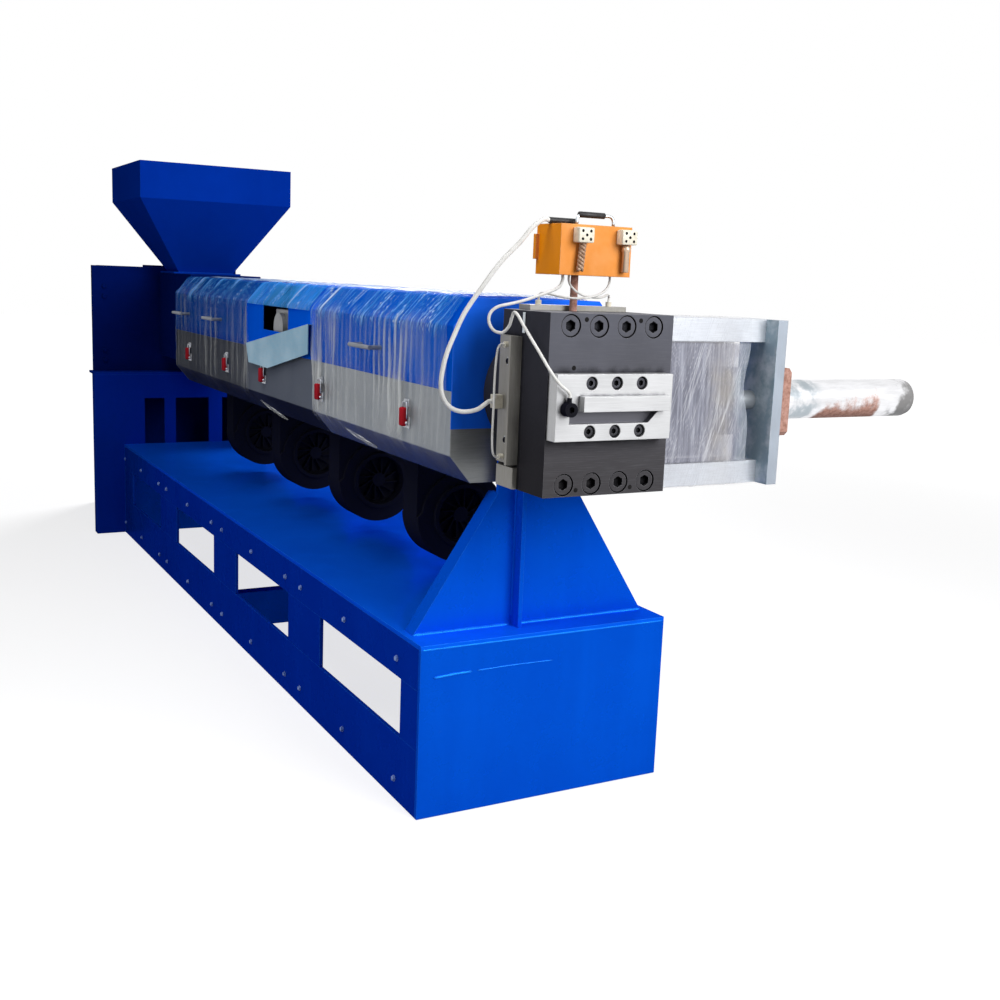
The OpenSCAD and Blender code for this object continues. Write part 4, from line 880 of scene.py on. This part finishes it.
def add_field(piece, name, values):
    """Stores one number for each point of a mesh."""
    field = piece.data.attributes.new(name, "FLOAT", "POINT")
    field.data.foreach_set("value", np.clip(values, 0.0, 1.0).reshape(-1).astype(np.float32))


# The film's colour holds painted highlights, white and azure, where its ridges catch the light.
film, shader, place = finish("stretch_film", Specular_IOR_Level=0.03, IOR=1.45)
hides = add_node(place, "Attribute", attribute_name="cover").outputs["Fac"]
pale = add_node(place, "Attribute", attribute_name="white").outputs["Fac"]
fine = noise(stretched(place, (90.0, 4.0, 4.0)), 1.6, 5.0, 0.7)
veil = math_node("ADD", hides, span_of(fine, 0.42, 0.80, 0.0, 0.09))
feed(shader, Base_Color=blend(pale, (0.010, 0.34, 1.0), (0.90, 0.93, 0.93)),
     Alpha=math_node("MINIMUM", veil, 0.94), Roughness=span_of(fine, 0.3, 0.8, 0.12, 0.3),
     Normal=bump(fine, 0.35, 0.002))


def film_edge(s, start, sway, waves, drift=0.0):
    """X of a film's edge at the length s round the covers: start + sway sin(waves s) + drift s."""
    return start + sway * np.sin(s * waves) + drift * s


def film_band(name, front, rear, low, high, columns, gathers, veils, highlight, milk, tint, seed):
    """Film between the edges X = front and X = rear, from s = low to high round the girth. It rises along
    its strands, dense on the top slopes and, on the sides, about the gathers in X. The share that hides the
    sheet is 1 - (1 - white)(1 - azure): white is painted highlight on the ridges together with the film's
    haze, azure is painted blue highlight on the slopes and along the top."""
    path, out, s = film_girth(150)
    whole = s[-1]
    keep = (s >= low) & (s <= high)
    path, out, s = path[keep], out[keep], s[keep]
    rear_x = film_edge(s, *rear)
    x = rear_x + (film_edge(s, *front) - rear_x) * np.linspace(0.0, 1.0, columns)[:, None]
    g = np.broadcast_to(s, x.shape)
    up = np.minimum(g, whole - g)
    slope, top = bell(up, slope_s, 0.045), bell(g, whole / 2, 0.085)
    side, blue_side = bell(up, side_s, 0.115), bell(up, upper_side_s, 0.05)
    lean = x - 0.22 * (g - 0.5)
    coarse = strands(lean, g, 0.036, 3.0, seed, 0.50) * swell(x, g, 0.14, 0.30, seed + 1)
    fine = strands(lean, g, 0.022, 2.0, seed + 2, 0.65) * swell(x, g, 0.08, 0.22, seed + 3)
    upright = strands(x, g, 0.055, 4.0, seed + 4, 0.45) * swell(x, g, 0.16, 0.45, seed + 5)
    knots = 0.4 + 0.8 * np.clip(sum(bell(x, at, 0.09) for at in gathers), 0.0, 1.0)
    misted = 0.3 + 0.9 * np.clip(sum(bell(x, at, 0.10) for at in veils), 0.0, 1.0)
    folds = swell(x, g, 0.045, 0.9, seed + 8) ** 3
    # Painted highlights: slanted streaks on the slopes, pulled ridges on the sides and a line along the top.
    slanted = slope * (1.5 * coarse ** 1.2 + 0.9 * fine ** 1.2)
    pulled = side * knots * (0.5 * upright + 0.16 * fine + 0.40 * folds) + 0.04 * fine
    across = top * (0.22 + 1.2 * coarse + 0.8 * fine)
    haze = side * misted * (1.0 - 0.4 * blue_side) * swell(x, g, 0.2, 0.5, seed + 6)
    white = np.clip(highlight * (0.5 * slanted ** 2 + 0.85 * pulled + 0.9 * across) + milk * haze, 0.0, 0.92)
    azure = slope * (tint + 0.2 * swell(x, g, 0.15, 0.3, seed + 7)) + 1.1 * slanted
    azure = np.clip(azure + 0.14 * blue_side * (1 - slope) + 0.7 * across, 0.0, 0.9)
    cover = 1.0 - (1.0 - white) * (1.0 - azure)
    streak = slanted + pulled + top * (coarse + 0.5 * fine)
    lift = np.minimum(0.0035 * streak + 0.0014 * (1 + np.sin(x * 23.0 + 4 * np.sin(g * 10.0))), 0.008)
    y = path[:, 0] + lift * out[:, 0]
    z = axis_z + path[:, 1] + lift * out[:, 1]
    piece = ridden(lay_grid(name, np.stack([x, y, z], -1)), "cover_blue", film)
    add_field(piece, "cover", cover)
    add_field(piece, "white", white / np.maximum(cover, 1e-6))


film_band("film_front", (1.780, 0.018, 5.0, -0.02), (0.700, 0.02, 9.0), 0.0, 1.52, 520,
          gathers=(0.83, 1.40), veils=(0.83, 1.54), highlight=1.0, milk=0.24, tint=0.08, seed=3)
film_band("film_middle", (0.690, 0.02, 9.0), (-0.060, 0.02, 7.0), 0.50, 1.05, 420,
          gathers=(0.6,), veils=(0.6,), highlight=0.5, milk=0.1, tint=0.45, seed=24)
film_band("film_rear", (-0.070, 0.02, 7.0), (-1.302, 0.01, 3.0), 0.0, 1.52, 540,
          gathers=(-0.15, -0.65, -1.15), veils=(-0.15,), highlight=0.55, milk=0.03, tint=0.0, seed=45)

# Film tails
# Two torn ends of the film, drawn out to narrow strips, that cling to the lower fold of the covers.
# They are the same polythene, gathered white.
tail_out = (0.0, -1.0, 0.12)
tail_w, tail_flat = 0.013, 0.0105
tail_steps, tail_columns = 120, 21


def strip(start, end, width, out, turn):
    """Strip from start to end whose width turns about the line from -turn to turn and narrows towards both
    ends as 0.35 + 0.65 sin(pi t)^0.7."""
    t = np.linspace(0.0, 1.0, tail_steps)[:, None]
    start, end, out = np.array(start), np.array(end), np.array(out) / np.linalg.norm(out)
    run = (end - start) / np.linalg.norm(end - start)
    line = start + (end - start) * t + 0.004 * np.sin(np.pi * t) * out
    angle = turn * (2 * t - 1)
    half = width / 2 * (0.35 + 0.65 * np.sin(np.pi * t) ** 0.7)
    edge = half * (np.cos(angle) * np.cross(out, run) - np.sin(angle) * out)
    return line[:, None, :] + np.linspace(-1.0, 1.0, tail_columns)[None, :, None] * edge[:, None, :]


for label, start, end, under in (
        ("film_tail_front", (1.03, -0.268, 0.965), (1.28, -0.256, 0.932), "cover_lower_front"),
        ("film_tail_middle", (0.10, -0.268, 0.957), (0.39, -0.250, 0.912), "cover_lower_middle")):
    tail = ridden(lay_grid(label, strip(start, end, tail_w, tail_out, 0.25)), "cover_blue", film)
    t = np.linspace(0.0, 1.0, tail_steps)
    t, v = np.meshgrid(t, np.linspace(1.0, -1.0, tail_columns), indexing="ij")
    fibre = strands(v * 0.0055 + 0.001 * np.sin(9 * t), t, 0.006, 1.5, 77, 1.4)
    add_field(tail, "cover", 0.12 + 0.88 * fibre * np.sin(np.pi * t) ** 0.35)
    add_field(tail, "white", np.ones_like(t))

# Film on the screen changer
# More of the same film, wound round the bars between the block and the end plate, pulled into
# slanting ridges across the open front. Its far edge is torn and thins out.
bars_lo, bars_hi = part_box("changer_bars")
wrap_columns, wrap_clear = 150, 0.004
x0, x1 = bars_lo.x - wrap_clear, bars_hi.x + wrap_clear
z0, z1 = bars_lo.z - wrap_clear, bars_hi.z + wrap_clear
lap_z, lap_over = z0 + 0.2, 0.01
loop = [(x0, 0, lap_z), (x0, 0, z1), (x1, 0, z1), (x1, 0, z0), (x0, 0, z0), (x0, 0, lap_z - lap_over)]
loop, s = evenly(rounded_path(loop, 0.010, 6), 210)
outward = np.cross(headings(loop), (0.0, 1.0, 0.0))
near_edge = bars_lo.y + 0.006
torn_edge = bars_lo.y + 0.345 + 0.016 * np.sin(s * 9.0) + 0.006 * np.sin(s * 31.0)
share = np.linspace(1.0, 0.0, wrap_columns)[:, None]
y = near_edge + (torn_edge - near_edge) * share
g = np.broadcast_to(s, y.shape)
# The ridges' sheen is a painted highlight, white in the film's colour.
sheen = 0.42 * strands(y + 0.36 * (g - 0.6), g, 0.028, 0.5, 61, 0.5) * swell(y, g, 0.12, 0.2, 62)
sheen = sheen + 0.26 * strands(y + 0.30 * (g - 0.6), g, 0.012, 0.4, 63, 0.8) * swell(y, g, 0.07, 0.15, 64)
wrap = loop + (0.004 * np.clip(sheen, 0.0, 1.0))[..., None] * outward
wrap[..., 1] = y
grey_film, shader, place = finish("grey_film", Specular_IOR_Level=0.12, IOR=1.45)
changer_film = ridden(lay_grid("film_changer", wrap), "changer_steel", grey_film)
add_field(changer_film, "streak", sheen)
add_field(changer_film, "thin", (share - 0.84) / 0.16 + 0.3 * (swell(y, g, 0.05, 0.06, 66) - 0.5))
streak = add_node(place, "Attribute", attribute_name="streak").outputs["Fac"]
thin = add_node(place, "Attribute", attribute_name="thin").outputs["Fac"]
fine = noise(stretched(place, (6.0, 90.0, 5.0), (0.35, 0.0, 0.0)), 1.4, 5.0, 0.7)
far = coordinate(place, "Y")
warm = product(span_of(far, 0.36, 0.43), span_of(far, 0.45, 0.50, 1.0, 0.0),
               span_of(noise(place, 7.0), 0.35, 0.65, 0.2, 0.9))
tone = blend(span_of(fine, 0.35, 0.7), (0.22, 0.225, 0.28), (0.38, 0.39, 0.46))
tone = blend(warm, tone, (0.40, 0.365, 0.32))
tone = blend(span_of(thin, 0.0, 1.0, 0.0, 0.7), tone, (0.52, 0.58, 0.64))
from_mid = math_node("ABSOLUTE", math_node("SUBTRACT", coordinate(place, "Z"), (bars_lo.z + bars_hi.z) / 2))
between = product(span_of(from_mid, 0.160, 0.172, 1.0, 0.12), span_of(fine, 0.3, 0.75, 0.75, 0.95))
veil = product(math_node("MULTIPLY_ADD", streak, 0.4, between), span_of(thin, 0.0, 1.0, 1.0, 0.5))
feed(shader, Base_Color=blend(streak, tone, (0.92, 0.93, 0.97)), Alpha=math_node("MINIMUM", veil, 0.95),
     Roughness=span_of(fine, 0.3, 0.8, 0.2, 0.4), Normal=bump(fine, 0.4, 0.002))

# Leads
# Heat-proof wires in woven glass-fibre sleeves. They leave the box, its gland or the heaters and
# go back in at a terminal, so each is one free length held at both ends.
leads = [
    ("lead_heater", 0.012, "stiff", [
        (2.045, -0.118, 1.625), (2.045, -0.135, 1.625), (2.043, -0.165, 1.604), (2.040, -0.198, 1.565),
        (2.030, -0.248, 1.511), (2.015, -0.294, 1.442), (2.000, -0.327, 1.385), (1.990, -0.348, 1.332),
        (1.980, -0.367, 1.273), (1.970, -0.374, 1.210), (1.965, -0.366, 1.169), (1.962, -0.346, 1.142),
        (1.962, -0.319, 1.129), (1.964, -0.290, 1.127), (1.968, -0.264, 1.133), (1.972, -0.246, 1.146),
        (1.976, -0.236, 1.154), (1.976, -0.225, 1.154)]),
    ("lead_jumper", 0.006, "medium", [
        (2.005, -0.213, 1.305), (2.005, -0.222, 1.305), (2.005, -0.231, 1.292), (2.004, -0.235, 1.250),
        (2.003, -0.236, 1.200), (2.003, -0.236, 1.154), (2.002, -0.236, 1.106), (2.000, -0.235, 1.060),
        (1.998, -0.231, 1.023), (1.997, -0.222, 1.010), (1.997, -0.213, 1.010)]),
    ("lead_sensor", 0.008, "medium", [
        (2.070, -0.085, 1.488), (2.070, -0.085, 1.474), (2.068, -0.095, 1.456), (2.064, -0.122, 1.443),
        (2.059, -0.158, 1.430), (2.050, -0.192, 1.418), (2.042, -0.222, 1.410), (2.032, -0.250, 1.402),
        (2.026, -0.267, 1.387), (2.025, -0.271, 1.365), (2.030, -0.260, 1.343), (2.040, -0.240, 1.337),
        (2.050, -0.226, 1.353), (2.060, -0.224, 1.376), (2.074, -0.226, 1.390), (2.094, -0.226, 1.384),
        (2.115, -0.222, 1.362), (2.150, -0.216, 1.328), (2.190, -0.212, 1.294), (2.224, -0.204, 1.258),
        (2.244, -0.187, 1.226), (2.246, -0.164, 1.208), (2.243, -0.154, 1.198), (2.243, -0.154, 1.190)]),
    ("lead_top_near", 0.006, "medium", [
        (2.060, -0.060, 1.4885), (2.060, -0.060, 1.476), (2.061, -0.054, 1.462), (2.062, -0.038, 1.448),
        (2.062, -0.014, 1.438), (2.060, 0.012, 1.434), (2.052, 0.040, 1.433), (2.038, 0.066, 1.436),
        (2.020, 0.088, 1.440), (2.004, 0.104, 1.440), (1.996, 0.110, 1.433), (1.995, 0.110, 1.4215)]),
    ("lead_top_far", 0.006, "medium", [
        (2.070, 0.060, 1.4885), (2.070, 0.060, 1.476), (2.072, 0.054, 1.462), (2.076, 0.038, 1.448),
        (2.080, 0.012, 1.438), (2.082, -0.018, 1.432), (2.078, -0.050, 1.430), (2.064, -0.078, 1.432),
        (2.042, -0.097, 1.437), (2.018, -0.108, 1.440), (2.000, -0.110, 1.436), (1.995, -0.110, 1.4215)]),
]
sleeve, shader, place = finish("glass_sleeve", Roughness=0.75, Specular_IOR_Level=0.3)
weave = add_node(place, "TexVoronoi", {"Vector": place, "Scale": 620.0}).outputs["Distance"]
soil = span_of(noise(place, 24.0, 4.0), 0.45, 0.8)
tone = blend(soil, (0.86, 0.86, 0.84), (0.66, 0.64, 0.60))
feed(shader, Base_Color=blend(span_of(weave, 0.2, 0.7, 0.0, 0.5), tone, (0.55, 0.54, 0.52)),
     Normal=bump(weave, 0.5, 0.0006))


def smooth_route(route, count=120):
    """Catmull-Rom spline through the route's points, sampled at even parameter: between b and c it is
    (2b + (c-a) f + (2a-5b+4c-d) f^2 + (3b-a-3c+d) f^3) / 2, with a and d the points beyond them."""
    p = np.asarray(route, float)
    p = np.concatenate([2 * p[:1] - p[1:2], p, 2 * p[-1:] - p[-2:-1]])
    t = np.linspace(0.0, len(route) - 1.0001, count)
    k = t.astype(int)
    f = (t - k)[:, None]
    a, b, c, d = p[k], p[k + 1], p[k + 2], p[k + 3]
    curve = 2 * b + (c - a) * f + (2 * a - 5 * b + 4 * c - d) * f ** 2
    return 0.5 * (curve + (3 * b - a - 3 * c + d) * f ** 3)


for label, diameter, stiffness, route in leads:
    line = smooth_route(route)
    lead = ring_piece(label + "_sleeve", tube(line, diameter / 2, 14), "lead_sleeve", sleeve, label)
